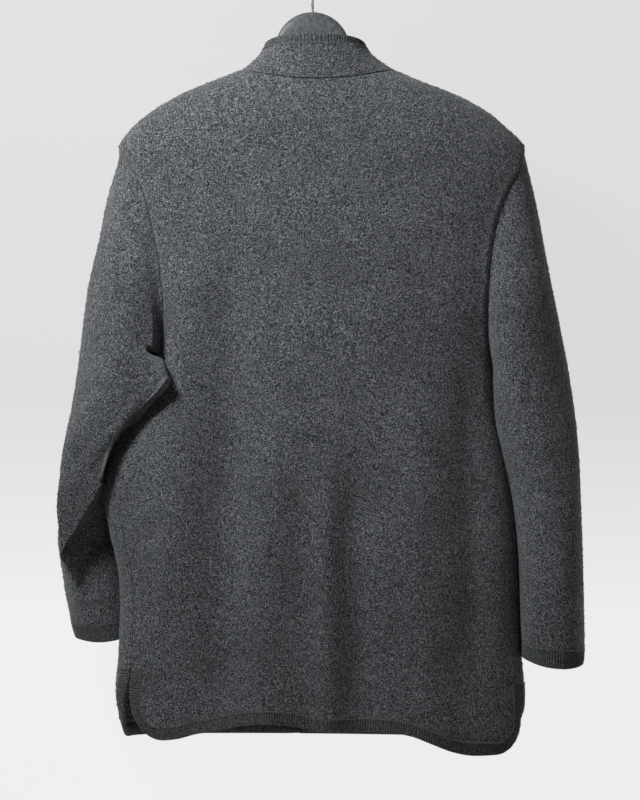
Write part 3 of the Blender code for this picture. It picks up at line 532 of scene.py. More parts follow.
def body_point(way, height):
    """Points of the cloth's outside. Height is a level, which the hem's wave and the neck bend."""
    way, height = np.broadcast_arrays(np.asarray(way, float), np.asarray(height, float))
    x, y = ring_at(RING_X, way, height), ring_at(RING_Y, way, height)
    share = front_share(way, height)
    hems = [smooth(hem["x"], hem["z"], x) for hem in (BACK_HEM, FRONT_HEM)]
    wave = hems[0] * (1 - share) + hems[1] * share - HEM_Z
    bent = height + wave * (1 - ease((height - HEM_Z - SLIT_HEIGHT) / HEM_WAVE_REACH))
    x, y = ring_at(RING_X, way, bent), ring_at(RING_Y, way, bent)
    depth = smooth(BODY["z"], BODY["back"], bent)
    y = y + np.where(y > 0, fold_wave(x, bent) * ease(y / depth * FOLD_SIDE_FADE), 0.0)
    return np.stack((x, y, bent - drop_at(x, y, height)), axis=-1)


def body_normal(way, height):
    up = body_point(way, height + NORMAL_STEP) - body_point(way, height - NORMAL_STEP)
    along = body_point(way + NORMAL_STEP, height) - body_point(way - NORMAL_STEP, height)
    return unit(np.cross(up, along))


def way_to_x(height, side, x, front):
    """The way round, counted positive on both sides, at which the ring has this x."""
    way, xs = RING_WAYS, ring_at(RING_X, RING_WAYS, np.full(len(RING_WAYS), height))
    way, xs = (way, xs) if side > 0 else (-way[::-1], -xs[::-1])
    turn = way[np.argmax(xs)]
    part = (way >= turn) & (way <= turn + FRONT_SEARCH) if front else (way >= 0) & (way <= turn)
    order = np.argsort(xs[part])
    return float(np.interp(side * x, xs[part][order], way[part][order]))


def seam_way(height, side, front):
    """How far round the panel's side edge is: side seam, armhole, then the shoulder's ridge."""
    turn = mark(height, LEFT_SIDE) if side > 0 else -mark(height, RIGHT_SIDE)
    if height >= SHOULDER_TIP_Z:
        return turn
    name = "left" if side > 0 else "right"
    inset = SIDE_SEAM_INSET_LEFT if side > 0 else SIDE_SEAM_INSET_RIGHT
    seam = way_to_x(height, side, smooth(BODY["z"], BODY[name], height) - side * inset, False)
    if height <= ARMPIT_Z:
        opening = SLIT_OPENING_LEFT if side > 0 else SLIT_OPENING_RIGHT
        share = float(ease((HEM_Z + SLIT_HEIGHT - height) / SLIT_OPENING_HEIGHT))
        return seam + opening * share * front
    hole = way_to_x(height, side, smooth(ARMHOLE["z"], ARMHOLE[name], height), front)
    t = min(max((ARMHOLE_ROUND_Z - height) / (ARMHOLE_ROUND_Z - ARMPIT_Z), 0.0), 1.0)
    return seam + (hole - seam) * math.sqrt(1 - t * t)


def centre_way(height, side):
    """How far round the centre front is, counted positive on both sides."""
    return mark(height, LEFT_CENTRE) if side > 0 else -mark(height, RIGHT_CENTRE)


# Grids of points, and walls between them


def skin_normals(grid, closed, inside):
    """Outward normals of a grid of points, given points that lie inside the form."""
    if closed:
        along = np.roll(grid, -1, axis=1) - np.roll(grid, 1, axis=1)
    else:
        along = np.gradient(grid, axis=1)
    normals = unit(np.cross(np.gradient(grid, axis=0), along))
    flip = np.sum(normals * (grid - inside)) < 0
    return -normals if flip else normals


def run_lengths(grid, axis):
    """Distance of each point from the grid's first and last row or column."""
    steps = np.linalg.norm(np.diff(grid, axis=axis), axis=2)
    first = np.cumsum(steps, axis=axis)
    start = np.zeros_like(first.take([0], axis=axis))
    first = np.concatenate((start, first), axis=axis)
    return first, first.take([-1], axis=axis) - first


def roll_in(distance, radius=SEAM_ROLL):
    """How far a felted edge rolls in at this distance from it."""
    t = np.clip(1 - distance / radius, 0.0, 1.0)
    return radius * (1 - np.sqrt(1 - t * t))


def crease_wave(points, normals):
    """Fine creases of the back and sleeves, each along a straight line as seen from behind."""
    total = np.zeros(points.shape[:-1])
    x, z = points[..., 0], points[..., 2]
    for x_start, z_start, x_end, z_end, width, wave in zip(*CREASES.values()):
        dx, dz = x_end - x_start, z_end - z_start
        along = np.clip(((x - x_start) * dx + (z - z_start) * dz) / (dx * dx + dz * dz), 0.0, 1.0)
        away = np.hypot(x - x_start - along * dx, z - z_start - along * dz)
        total += wave * np.exp(-(away / width) ** 2) * np.sin(math.pi * np.clip(along, *CREASE_ENDS))
    return total * ease(normals[..., 1] * CREASE_FACING)


def placed(name, data):
    """A new object in the scene."""
    made = bpy.data.objects.new(name, data)
    bpy.context.scene.collection.objects.link(made)
    return made


def make_mesh(name, vertices, faces, finish):
    """A new piece with its faces turned outwards."""
    mesh = bpy.data.meshes.new(name)
    mesh.from_pydata(np.asarray(vertices, float).tolist(), [], faces)
    work = bmesh.new()
    work.from_mesh(mesh)
    bmesh.ops.recalc_face_normals(work, faces=work.faces)
    work.to_mesh(mesh)
    work.free()
    mesh.materials.append(finish)
    mesh.shade_smooth()
    return placed(name, mesh)


def grid_faces(rows, columns, closed, first=0, turned=False):
    """Four-sided faces of a grid of points."""
    spans = columns if closed else columns - 1
    r, c = np.meshgrid(np.arange(rows - 1), np.arange(spans), indexing="ij")
    after = (c + 1) % columns
    corners = [r * columns + c, r * columns + after, (r + 1) * columns + after, (r + 1) * columns + c]
    if turned:
        corners.reverse()
    return (np.stack(corners, axis=-1).reshape(-1, 4) + first).tolist()


def cloth_wall(name, outer, inner, finish, closed=False):
    """A closed wall between an outer and an inner grid of the same size."""
    rows, columns = outer.shape[:2]
    inside = rows * columns
    faces = grid_faces(rows, columns, closed) + grid_faces(rows, columns, closed, inside, True)
    for r in (0, rows - 1):
        for c in range(columns if closed else columns - 1):
            a, b = r * columns + c, r * columns + (c + 1) % columns
            faces.append((a, b, b + inside, a + inside))
    if not closed:
        for c in (0, columns - 1):
            for r in range(rows - 1):
                a, b = r * columns + c, (r + 1) * columns + c
                faces.append((a, b, b + inside, a + inside))
    points = np.concatenate((outer.reshape(-1, 3), inner.reshape(-1, 3)))
    return make_mesh(name, points, faces, finish)


def felted_wall(name, grid, normals, finish, closed=False, lift=None):
    """Boiled wool on a grid of its outside: creased, with edges that roll in at the seams.

    lift raises both faces of the cloth along its normals, by a height for each point.
    """
    lift = np.zeros(grid.shape[:2]) if lift is None else lift
    from_top, from_bottom = run_lengths(grid, 0)
    wave = lift + crease_wave(grid, normals) - roll_in(from_top) - roll_in(from_bottom)
    if not closed:
        from_start, from_end = run_lengths(grid, 1)
        wave -= roll_in(np.minimum(from_start, from_end))
    outer = grid + normals * wave[..., None]
    inner = grid + normals * (lift - WOOL)[..., None]
    return cloth_wall(name, outer, inner, finish, closed), outer, normals


def knit_band(name, grid, inside, finish, closed=False):
    """A rib-knit band on a grid of its outside, from its free edge to its seam."""
    normals = skin_normals(grid, closed, inside)
    rows, columns = grid.shape[:2]
    from_free, from_seam = run_lengths(grid, 0)
    column = np.arange(columns)
    rib = np.abs(np.cos(column * math.pi / RIB_COLUMNS)) ** RIB_POWER
    phase = from_free * 2 * math.pi / KNIT_STITCH + column // RIB_COLUMNS * KNIT_OFFSET
    knit = KNIT_BASE + KNIT_SWING * np.cos(phase)
    relief = RIB_RELIEF * (rib[None, :] * knit * RIB_LIFT - RIB_SINK)
    relief = relief - roll_in(from_free, BAND_WALL / 2) - roll_in(from_seam, BAND_WALL / 2)
    outer = grid + normals * relief[..., None]
    ends = [0, rows - 1]
    inner = grid[ends] - normals[ends] * BAND_WALL
    count = rows * columns
    faces = grid_faces(rows, columns, closed) + grid_faces(2, columns, closed, count, True)
    for r, row in enumerate(ends):
        for c in range(columns if closed else columns - 1):
            after = (c + 1) % columns
            near = row * columns
            far = count + r * columns
            faces.append((near + c, near + after, far + after, far + c))
    if not closed:
        for c in (0, columns - 1):
            rim = [r * columns + c for r in range(rows)]
            faces.append(rim + [count + columns + c, count + c])
    points = np.concatenate((outer.reshape(-1, 3), inner.reshape(-1, 3)))
    return make_mesh(name, points, faces, finish), outer, normals


# Panels


def fine_levels():
    """Heights of a panel's rows, from the neck to the seam of the hem band."""
    low = HEM_Z + BAND_WIDTH - SEAM_GAP
    corner = HEM_Z + CORNER_RADIUS
    slit = HEM_Z + SLIT_HEIGHT
    armpit_turn = np.linspace(0, math.pi / 2, ARMPIT_ROWS)[1:]
    corner_turn = np.linspace(0, math.pi / 2, CORNER_ROWS)[1:]
    return np.concatenate((
        NECK_Z - ROLL_STEPS,
        np.linspace(NECK_Z - ROLL_STRIP, SHOULDER_TIP_Z, SHOULDER_ROWS),
        np.linspace(SHOULDER_TIP_Z, ARMHOLE_ROUND_Z, ARMHOLE_ROWS)[1:],
        ARMHOLE_ROUND_Z + (ARMPIT_Z - ARMHOLE_ROUND_Z) * np.sin(armpit_turn),
        np.linspace(ARMPIT_Z, slit, BODY_ROWS)[1:],
        np.linspace(slit - SLIT_TOP_STEP, corner, SLIT_ROWS),
        corner + (low - corner) * np.sin(corner_turn),
    ))


def edge_inset(height):
    """How far the wool stays in from the side edge: the slit's band and round corner lie there."""
    if height > HEM_Z + SLIT_HEIGHT - SLIT_TOP_STEP / 2:
        return SEAM_GAP / 2
    inset = BAND_WIDTH - SEAM_GAP
    below = HEM_Z + CORNER_RADIUS - height
    if below > 0:
        inner = CORNER_RADIUS - BAND_WIDTH + SEAM_GAP
        inset += inner - math.sqrt(max(inner * inner - below * below, 0.0))
    return inset


def spaced(start, end, columns):
    """Places from start to end, close together where the edges roll in."""
    strip = min(ROLL_STRIP, (end - start) / 4)
    edge = ROLL_STEPS * strip / ROLL_STRIP
    between = np.linspace(start + strip, end - strip, columns)
    return np.concatenate((start + edge, between, end - edge[::-1]))


def back_ways(level):
    left, right = seam_way(level, 1, False), -seam_way(level, -1, False)
    inset = edge_inset(level)
    return spaced(right + inset, left - inset, BACK_COLUMNS)


def front_ways(level, side):
    start = seam_way(level, side, True) + edge_inset(level)
    return spaced(start, centre_way(level, side) + LAP, FRONT_COLUMNS)


def lap_lift(ways, height, side, lift):
    """The upper front lies over the lower one near the centre."""
    return lift * ease((np.abs(ways) - (centre_way(height, side) - LAP - LIFT_START)) / LIFT_REACH)


def body_middle(grid):
    """Points on the body's middle plane, inside each point of its outside."""
    return grid * BODY_MIDDLE


def armhole_welt(grid, levels, front):
    """The turned-in edge of the cloth makes a low soft ridge beside the armhole."""
    along = ease((SHOULDER_TIP_Z - levels) / WELT_FADE) * ease((levels - ARMPIT_Z) / WELT_FADE)
    from_start, from_end = run_lengths(grid, 1)
    away = from_start if front else np.minimum(from_start, from_end)
    return WELT_HEIGHT * np.exp(-((away - WELT_PLACE) / WELT_WIDTH) ** 2) * along[:, None]


def back_panel(finish):
    levels = fine_levels()
    ways = np.array([back_ways(level) for level in levels])
    grid = body_point(ways, levels[:, None])
    lift = armhole_welt(grid, levels, False)
    return felted_wall("cloth_back", grid, body_normal(ways, levels[:, None]), finish, lift=lift)


def front_panel(name, side, lift, finish):
    levels = fine_levels()
    ways = side * np.array([front_ways(level, side) for level in levels])
    grid = body_point(ways, levels[:, None])
    raised = np.array([lap_lift(row, level, side, lift) for row, level in zip(ways, levels)])
    raised = raised + armhole_welt(grid, levels, True)
    return felted_wall(name, grid, body_normal(ways, levels[:, None]), finish, lift=raised)


def edge_path(half, reach_end, along, across):
    """A band's route round a panel's lower edge: places across it, heights over the hem, and its length.

    The panel runs from -half[1], its slit side, to reach_end, or to half[0] with a slit there too.
    """
    inset = across * (BAND_WIDTH - SEAM_GAP)
    leg = SLIT_HEIGHT - SLIT_TOP_GAP - CORNER_RADIUS
    quarter = CORNER_RADIUS * math.pi / 2
    left_half, right_half = half
    bottom = left_half + right_half - 2 * CORNER_RADIUS
    if reach_end is not None:
        bottom = right_half + reach_end - CORNER_RADIUS
    total = leg + quarter + bottom + (quarter + leg if reach_end is None else 0.0)
    s = along * total
    turn = np.clip((s - leg) / CORNER_RADIUS, 0.0, math.pi / 2)
    radius = CORNER_RADIUS - inset
    place = -right_half + CORNER_RADIUS - radius * np.cos(turn) + np.clip(s - leg - quarter, 0.0, bottom)
    over = CORNER_RADIUS - radius * np.sin(turn) + np.maximum(leg - s, 0.0)
    if reach_end is None:
        rest = s - leg - quarter - bottom
        turn = np.clip(rest / CORNER_RADIUS, 0.0, math.pi / 2)
        place = place + np.where(rest > 0, radius * np.sin(turn), 0.0)
        rise = radius * (1 - np.cos(turn)) + np.maximum(rest - quarter, 0.0)
        over = over + np.where(rest > 0, rise, 0.0)
    return place, over, total


def band_columns(length):
    return 2 * RIB_COLUMNS * round(length / RIB_PITCH / 2) + 1


def seam_ways(heights, side, front):
    """The panel's side edge at many heights, from a short table of it."""
    low, high = HEM_Z - SLIT_TABLE_MARGIN, HEM_Z + SLIT_HEIGHT + SLIT_TABLE_MARGIN
    rows = np.linspace(low, high, SLIT_TABLE_ROWS)
    return np.interp(heights, rows, [seam_way(row, side, front) for row in rows])


def back_band(finish):
    """The back's band: down the right slit, round the corners and along the hem to the left slit."""
    half = [seam_way(SLIT_MIDDLE_Z, side, False) - SEAM_GAP / 2 for side in (1, -1)]
    _, _, length = edge_path(half, None, 0.0, 0.0)
    along = np.linspace(0, 1, band_columns(length))[None, :]
    across = np.linspace(0, 1, KNIT_ROWS)[:, None]
    ways, over, _ = edge_path(half, None, along, across)
    heights = HEM_Z + over
    left = seam_ways(heights, 1, False) - half[0]
    right = half[1] - seam_ways(heights, -1, False)
    ways = ways + np.where(ways > 0, left, right) * np.minimum(np.abs(ways) / BACK_SHIFT_REACH, 1.0)
    grid = body_point(ways, heights)
    return knit_band("knit_hem_back", grid, body_middle(grid), finish)


def front_band(name, side, lift, finish):
    """The band of one front: down its slit, round the corner and along the hem to the lap."""
    start = seam_way(SLIT_MIDDLE_Z, side, True)
    end = centre_way(SLIT_MIDDLE_Z, side) + LAP
    half = (0.0, -start - SEAM_GAP / 2)
    _, _, length = edge_path(half, end, 0.0, 0.0)
    along = np.linspace(0, 1, band_columns(length))[None, :]
    across = np.linspace(0, 1, KNIT_ROWS)[:, None]
    ways, over, _ = edge_path(half, end, along, across)
    heights = HEM_Z + over
    shift = seam_ways(heights, side, True) - start
    ways = ways + shift * np.maximum(1 - (ways - start) / FRONT_SHIFT_REACH, 0.0)
    grid = body_point(side * ways, heights)
    normals = skin_normals(grid, False, body_middle(grid))
    grid = grid + normals * lap_lift(ways, SLIT_MIDDLE_Z, side, lift)[..., None]
    return knit_band(name, grid, body_middle(grid), finish)


# Sleeves


def armhole_loop(side, turns):
    """The armhole's edge, down the back and up the front, moved out by the seam's gap."""
    middle, half = (SHOULDER_TIP_Z + ARMPIT_Z) / 2, (SHOULDER_TIP_Z - ARMPIT_Z) / 2
    levels = middle + half * np.cos(turns)
    ways = np.array([side * seam_way(z, side, turn > math.pi) for z, turn in zip(levels, turns)])
    outer = body_point(ways, levels)
    normals = body_normal(ways, levels)
    inner = outer - normals * WOOL
    after = np.roll(outer, -1, axis=0) - outer
    away_after = unit(side * np.cross(after, outer - inner))
    away_before = np.roll(away_after, 1, axis=0)
    agreement = np.sum(away_after * away_before, axis=1, keepdims=True)
    mitre = (away_after + away_before) / (MITRE_SOFTNESS + agreement)
    return outer + mitre * SEAM_GAP * SEAM_SHIFT, normals


def sleeve_ring(rows, t, turns):
    """One section of a sleeve: a rounded flat oval between its outer and inner edges."""
    stops = (t, min(t + SECTION_STEP, rows["t"][-1]), max(t - SECTION_STEP, 0.0))
    here, ahead, behind = np.array([
        [[smooth(rows["t"], rows[f"{edge}_{axis}"], at) for axis in "xyz"] for edge in ("out", "in")]
        for at in stops
    ])
    outside, inside = here
    thick = unit(np.cross(outside - inside, (ahead - behind).sum(axis=0)))
    if thick[1] < 0:
        thick = -thick
    across = squared(np.cos(turns), 2 / SLEEVE_SQUARENESS)
    deep = squared(np.sin(turns), 2 / SLEEVE_SQUARENESS)
    half = smooth(rows["t"], rows["half"], t)
    return (outside + inside) / 2 + np.outer(across, (outside - inside) / 2) + np.outer(deep, thick * half)


def flap_fold(grid, back_share):
    """Flattens the sleeve's back above the elbow's fold, and drops it below the fold's edge."""
    spots = np.stack((FLAP["x"], FLAP["z"]), axis=-1)
    flat = grid[..., (0, 2)]
    best = np.full(flat.shape[:2], 1.0)
    above = np.zeros(flat.shape[:2])
    level = np.zeros(flat.shape[:2])
    for k in range(len(spots) - 1):
        run = spots[k + 1] - spots[k]
        along = np.clip(((flat - spots[k]) @ run) / (run @ run), 0.0, 1.0)
        away = flat - spots[k] - along[..., None] * run
        reach = np.linalg.norm(away, axis=-1)
        nearer = reach < best
        best = np.where(nearer, reach, best)
        side = np.sign(run[1] * away[..., 0] - run[0] * away[..., 1])
        above = np.where(nearer, -side * reach, above)
        level = np.where(nearer, FLAP["y"][k] * (1 - along) + FLAP["y"][k + 1] * along, level)
    on_flap = ease((FLAP_HEIGHT - above) / FLAP_FADE) * ease((above + FLAP_EDGE) / FLAP_EDGE)
    below = ease(-above / FLAP_EDGE) * ease((above + FLAP_RECOVER) / FLAP_RECOVER)
    y = grid[..., 1]
    flattened = y + (level - y) * on_flap * back_share
    lowered = np.minimum(y, level - FLAP_DROP)
    grid[..., 1] = flattened + (lowered - y) * below * back_share
    return grid


def relaxed(grid, shares):
    """A grid with its middle rows drawn towards their neighbours, each row by its share."""
    for _ in range(SMOOTH_ROUNDS):
        around = (np.roll(grid, 1, axis=1) + np.roll(grid, -1, axis=1))[1:-1]
        middle = (around + grid[:-2] + grid[2:]) / 4
        grid[1:-1] += (middle - grid[1:-1]) * shares[1:-1, None, None]
    return grid


def sleeve(name, side, rows, finish):
    """A sleeve from the armhole's loop to the cuff's seam, flush with the body where they meet."""
    turns = all_round(LOOP_POINTS)
    loop, loop_normals = armhole_loop(side, turns)
    end = rows["t"][-1] - CUFF_SECTION
    stops = np.linspace(SLEEVE_ROLL_SPAN, end - SLEEVE_ROLL_SPAN, SLEEVE_STOPS)
    grid = [loop]
    for t in stops:
        leave = 1.0
        if t < rows["t"][ARMHOLE_SECTIONS]:
            leave = float(np.clip(smooth(rows["t"], rows["leave"], t), 0.0, 1.0))
        grid.append(loop * (1 - leave) + sleeve_ring(rows, t, turns) * leave)
    places = np.array([0.0, *stops])
    grid = relaxed(np.array(grid), ease((SMOOTH_END - places) / SMOOTH_FADE))
    if side > 0:
        on_back = ease(np.sin(turns) * FLAP_BACK)[None, :]
        below_top = ease((places - FLAP_FIRST) / FLAP_IN)[:, None]
        grid = flap_fold(grid, on_back * below_top)
    first = [grid[0] * (1 - step) + grid[1] * step for step in ROLL_STEPS * SLEEVE_ROLL / stops[0]]
    last = [sleeve_ring(rows, end - step, turns) for step in ROLL_STEPS[::-1] * SLEEVE_ROLL]
    grid = np.array([*first, *grid[1:], *last])
    normals = skin_normals(grid, True, grid.mean(axis=1, keepdims=True))
    share = ease(run_lengths(grid, 0)[0] / SEAM_BLEND)[..., None]
    normals = unit(normals * share + loop_normals * (1 - share))
    return felted_wall(name, grid, normals, finish, closed=True)


def cuff_band(name, rows, finish):
    """The rib-knit band at the wrist, from its free edge up to its seam."""
    last = rows["t"][-1]
    start = last - CUFF_SECTION
    slack = SEAM_GAP / BAND_WIDTH
    probe = sleeve_ring(rows, start, all_round(CUFF_PROBES))
    length = np.linalg.norm(probe - np.roll(probe, 1, axis=0), axis=1).sum()
    turns = all_round(band_columns(length) - 1)
    sag = CUFF_SAG * (1 - np.cos(2 * turns)) / 2
    grid = []
    for across in np.linspace(0, 1, KNIT_ROWS):
        ring = sleeve_ring(rows, start + slack + (last - start - slack) * (1 - across), turns)
        ring[:, 2] -= sag * (1 - across)
        grid.append(ring)
    grid = np.array(grid)
    return knit_band(name, grid, grid.mean(axis=1, keepdims=True), finish, closed=True)


# Collar


def neck_ways():
    """Ways round the neck seam, from the wearer's right centre front to the left."""
    ends = [centre_way(NECK_Z, side) - COLLAR_END_GAP for side in (-1, 1)]
    return np.linspace(-ends[0], ends[1], COLLAR_COLUMNS)


def collar_point(ways, up):
    """Points of the collar's outside: up runs from 0 at the seam to 1 at the top edge."""
    lift = np.where(ways > 0, lap_lift(ways, NECK_Z, 1, LAP_LIFT), 0.0)[:, None]
    rise = unit(body_point(ways, NECK_Z) - body_point(ways, NECK_Z - NORMAL_STEP))
    foot = body_point(ways, NECK_Z) + body_normal(ways, NECK_Z) * lift + rise * SEAM_GAP * 2
    share = np.where(ways > 0, ways / centre_way(NECK_Z, 1), ways / centre_way(NECK_Z, -1))
    turn = math.pi / 2 - math.pi * share
    across, deep = squared(np.cos(turn), 2 / SQUARENESS), squared(np.sin(turn), 2 / SQUARENESS)
    middle = (COLLAR_TOP_LEFT + COLLAR_TOP_RIGHT) / 2
    reach = (COLLAR_TOP_LEFT - COLLAR_TOP_RIGHT) / 2
    depth = np.where(deep > 0, COLLAR_TOP_BACK, COLLAR_TOP_FRONT)
    backness = np.maximum((1 + np.sin(turn)) / 2, 0.0) ** COLLAR_TOP_FLATNESS
    height = COLLAR_FRONT_TOP_Z + (COLLAR_TOP_Z - COLLAR_FRONT_TOP_Z) * backness
    top = np.stack((middle + reach * across, depth * deep, height), axis=-1)
    pull = 1 - (1 - up) ** COLLAR_FLARE
    return foot + (top - foot) * np.array((pull, pull, up))


def collar(finish):
    """A stand collar from the neck seam to the seam of its band."""
    rolled = ROLL_STEPS * COLLAR_ROLL
    between = np.linspace(COLLAR_ROLL_SHARE, COLLAR_SEAM - COLLAR_ROLL_SHARE, COLLAR_ROWS)
    ups = np.concatenate((rolled, between, COLLAR_SEAM - rolled[::-1]))
    grid = np.array([collar_point(neck_ways(), up) for up in ups])
    return felted_wall("cloth_collar", grid, skin_normals(grid, False, grid * COLLAR_MIDDLE), finish)


def collar_band(finish):
    """The rib band on the collar's upper edge."""
    columns = band_columns(COLLAR_TOP_LENGTH)
    ways = np.interp(np.linspace(0, 1, columns), np.linspace(0, 1, COLLAR_COLUMNS), neck_ways())
    low = COLLAR_SEAM + 2 * SEAM_GAP / (COLLAR_TOP_Z - NECK_Z)
    grid = np.array([collar_point(ways, up) for up in np.linspace(1.0, low, COLLAR_BAND_ROWS)])
    return knit_band("knit_collar", grid, grid * COLLAR_MIDDLE, finish)


# Geometry Nodes for stitches and fibres


def tree_for(name, sizes):
    """A node tree with a geometry input and output, and a named input for each size."""
    tree = bpy.data.node_groups.new(name, "GeometryNodeTree")
    tree.interface.new_socket("Geometry", in_out="INPUT", socket_type="NodeSocketGeometry")
    for size, kind in sizes.items():
        tree.interface.new_socket(size, in_out="INPUT", socket_type="NodeSocket" + kind)
    tree.interface.new_socket("Geometry", in_out="OUTPUT", socket_type="NodeSocketGeometry")
    return tree, tree.nodes.new("NodeGroupInput"), tree.nodes.new("NodeGroupOutput")


def node(tree, kind, links=None, **settings):
    """A node with its settings, and its inputs set to values or joined to other nodes' outputs."""
    made = tree.nodes.new(kind)
    for key, value in settings.items():
        setattr(made, key, value)
    for key, value in (links or {}).items():
        if isinstance(value, bpy.types.NodeSocket):
            tree.links.new(value, made.inputs[key])
        else:
            made.inputs[key].default_value = value
    return made


def maths(tree, operation, *values):
    """The result of one sum, whose values are numbers or other nodes' outputs."""
    return node(tree, "ShaderNodeMath", dict(enumerate(values)), operation=operation).outputs[0]


def thread_arc(tree, length, rise, side, radius, round_steps):
    """One arched length of thread along X, which bows up and to one side."""
    half = maths(tree, "MULTIPLY", length, 0.5)
    back = maths(tree, "MULTIPLY", half, -1.0)
    inner = maths(tree, "MULTIPLY", half, ARC_PULL)
    outer = maths(tree, "MULTIPLY", inner, -1.0)
    start = node(tree, "ShaderNodeCombineXYZ", {0: back}).outputs[0]
    start_pull = node(tree, "ShaderNodeCombineXYZ", {0: outer, 1: side, 2: rise}).outputs[0]
    end_pull = node(tree, "ShaderNodeCombineXYZ", {0: inner, 1: side, 2: rise}).outputs[0]
    end = node(tree, "ShaderNodeCombineXYZ", {0: half}).outputs[0]
    arc = node(tree, "GeometryNodeCurvePrimitiveBezierSegment", {
        "Resolution": ARC_STEPS, "Start": start, "Start Handle": start_pull,
        "End Handle": end_pull, "End": end,
    })
    profile = node(tree, "GeometryNodeCurvePrimitiveCircle", {"Resolution": round_steps, "Radius": radius})
    return node(
        tree, "GeometryNodeCurveToMesh",
        {"Curve": arc.outputs[0], "Profile Curve": profile.outputs[0], "Fill Caps": True},
    ).outputs[0]


def close_tree(tree, instances, finish, leave):
    """The end of a tree: its instances made real and given their finish."""
    real = node(tree, "GeometryNodeRealizeInstances", {"Geometry": instances})
    coloured = node(tree, "GeometryNodeSetMaterial", {"Geometry": real.outputs[0], "Material": finish})
    tree.links.new(coloured.outputs[0], leave.inputs[0])


def stitch_tree():
    """Stitches laid end to end along a line, on the cloth that its "out" vectors point away from."""
    tree, entry, leave = tree_for("stitches", {
        "Stitch": "Float", "Thread": "Float", "Rise": "Float", "Loop": "Float", "Finish": "Material",
    })
    line = node(tree, "GeometryNodeMeshToCurve", {"Mesh": entry.outputs["Geometry"]})
    spaced_line = node(
        tree, "GeometryNodeResampleCurve",
        {"Curve": line.outputs[0], "Length": entry.outputs["Stitch"]}, mode="LENGTH",
    )
    out = node(tree, "GeometryNodeInputNamedAttribute", {"Name": "out"}, data_type="FLOAT_VECTOR")
    tangent = node(tree, "GeometryNodeInputTangent")
    stand = node(tree, "FunctionNodeAlignRotationToVector", {"Vector": out.outputs["Attribute"]}, axis="Z")
    turn = node(
        tree, "FunctionNodeAlignRotationToVector",
        {"Rotation": stand.outputs[0], "Vector": tangent.outputs[0]}, axis="X", pivot_axis="Z",
    )
    long = maths(tree, "MULTIPLY", entry.outputs["Stitch"], STITCH_OVERLAP)
    other = maths(tree, "MULTIPLY", entry.outputs["Loop"], -1.0)
    shape = node(tree, "GeometryNodeJoinGeometry")
    for side in (entry.outputs["Loop"], other):
        arc = thread_arc(tree, long, entry.outputs["Rise"], side, entry.outputs["Thread"], THREAD_ROUND)
        tree.links.new(arc, shape.inputs[0])
    laid = node(
        tree, "GeometryNodeInstanceOnPoints",
        {"Points": spaced_line.outputs[0], "Instance": shape.outputs[0], "Rotation": turn.outputs[0]},
    )
    close_tree(tree, laid.outputs[0], entry.outputs["Finish"], leave)
    return tree


def fibre_tree():
    """Short curled fibres scattered over a felted surface, each with its own shade."""
    tree, entry, leave = tree_for("fibres", {
        "Fibres per Square Metre": "Float", "Fibre Length": "Float", "Fibre Radius": "Float", "Rise": "Float",
        "Curl": "Float", "Seed": "Int", "Finish": "Material",
    })
    seed = entry.outputs["Seed"]
    spots = node(
        tree, "GeometryNodeDistributePointsOnFaces",
        {"Mesh": entry.outputs["Geometry"], "Seed": seed,
         "Density": entry.outputs["Fibres per Square Metre"]},
        distribute_method="RANDOM",
    )
    spin = node(tree, "FunctionNodeRandomValue", {"Seed": seed}, data_type="FLOAT_VECTOR")
    spin.inputs["Min"].default_value, spin.inputs["Max"].default_value = FIBRE_TURN
    twist = node(tree, "FunctionNodeEulerToRotation", {0: spin.outputs["Value"]})
    turned = node(
        tree, "FunctionNodeRotateRotation",
        {"Rotation": spots.outputs["Rotation"], "Rotate By": twist.outputs[0]}, rotation_space="LOCAL",
    )
    size = node(tree, "FunctionNodeRandomValue", {"Seed": seed}, data_type="FLOAT_VECTOR")
    size.inputs["Min"].default_value, size.inputs["Max"].default_value = FIBRE_SCALE
    arc = thread_arc(
        tree, entry.outputs["Fibre Length"], entry.outputs["Rise"], entry.outputs["Curl"],
        entry.outputs["Fibre Radius"], FIBRE_ROUND,
    )
    laid = node(tree, "GeometryNodeInstanceOnPoints", {
        "Points": spots.outputs[0], "Instance": arc, "Rotation": turned.outputs[0],
        "Scale": size.outputs["Value"],
    })
    shade = node(tree, "FunctionNodeRandomValue", {"Seed": seed}, data_type="FLOAT")
    named = node(
        tree, "GeometryNodeStoreNamedAttribute",
        {"Geometry": laid.outputs[0], "Name": "shade", "Value": shade.outputs[1]},
        data_type="FLOAT", domain="INSTANCE",
    )
    close_tree(tree, named.outputs[0], entry.outputs["Finish"], leave)
    return tree


def grown(name, source, tree, sizes, finish):
    """A plain mesh of what a node tree makes on a source object, which is then removed."""
    modifier = source.modifiers.new("grow", "NODES")
    modifier.node_group = tree
    for item in tree.interface.items_tree:
        if item.in_out == "INPUT" and item.name in sizes:
            modifier[item.identifier] = sizes[item.name]
        if item.in_out == "INPUT" and item.name == "Finish":
            modifier[item.identifier] = finish
    bpy.context.view_layer.update()
    evaluated = source.evaluated_get(bpy.context.evaluated_depsgraph_get())
    mesh = bpy.data.meshes.new_from_object(evaluated)
    mesh.name = name
    made = placed(name, mesh)
    if not mesh.materials:
        mesh.materials.append(finish)
    mesh.shade_smooth()
    bpy.data.objects.remove(source)
    return made


def stitch_line(name, points, normals, tree, sizes, finish, closed=False):
    """A line of stitches on points of the cloth's outside."""
    count = len(points)
    mesh = bpy.data.meshes.new(name)
    edges = [(k, (k + 1) % count) for k in range(count if closed else count - 1)]
    mesh.from_pydata(points.tolist(), edges, [])
    out = mesh.attributes.new("out", "FLOAT_VECTOR", "POINT")
    out.data.foreach_set("vector", normals.astype(np.float32).ravel())
    return grown(name, placed(name + "_line", mesh), tree, sizes, finish)


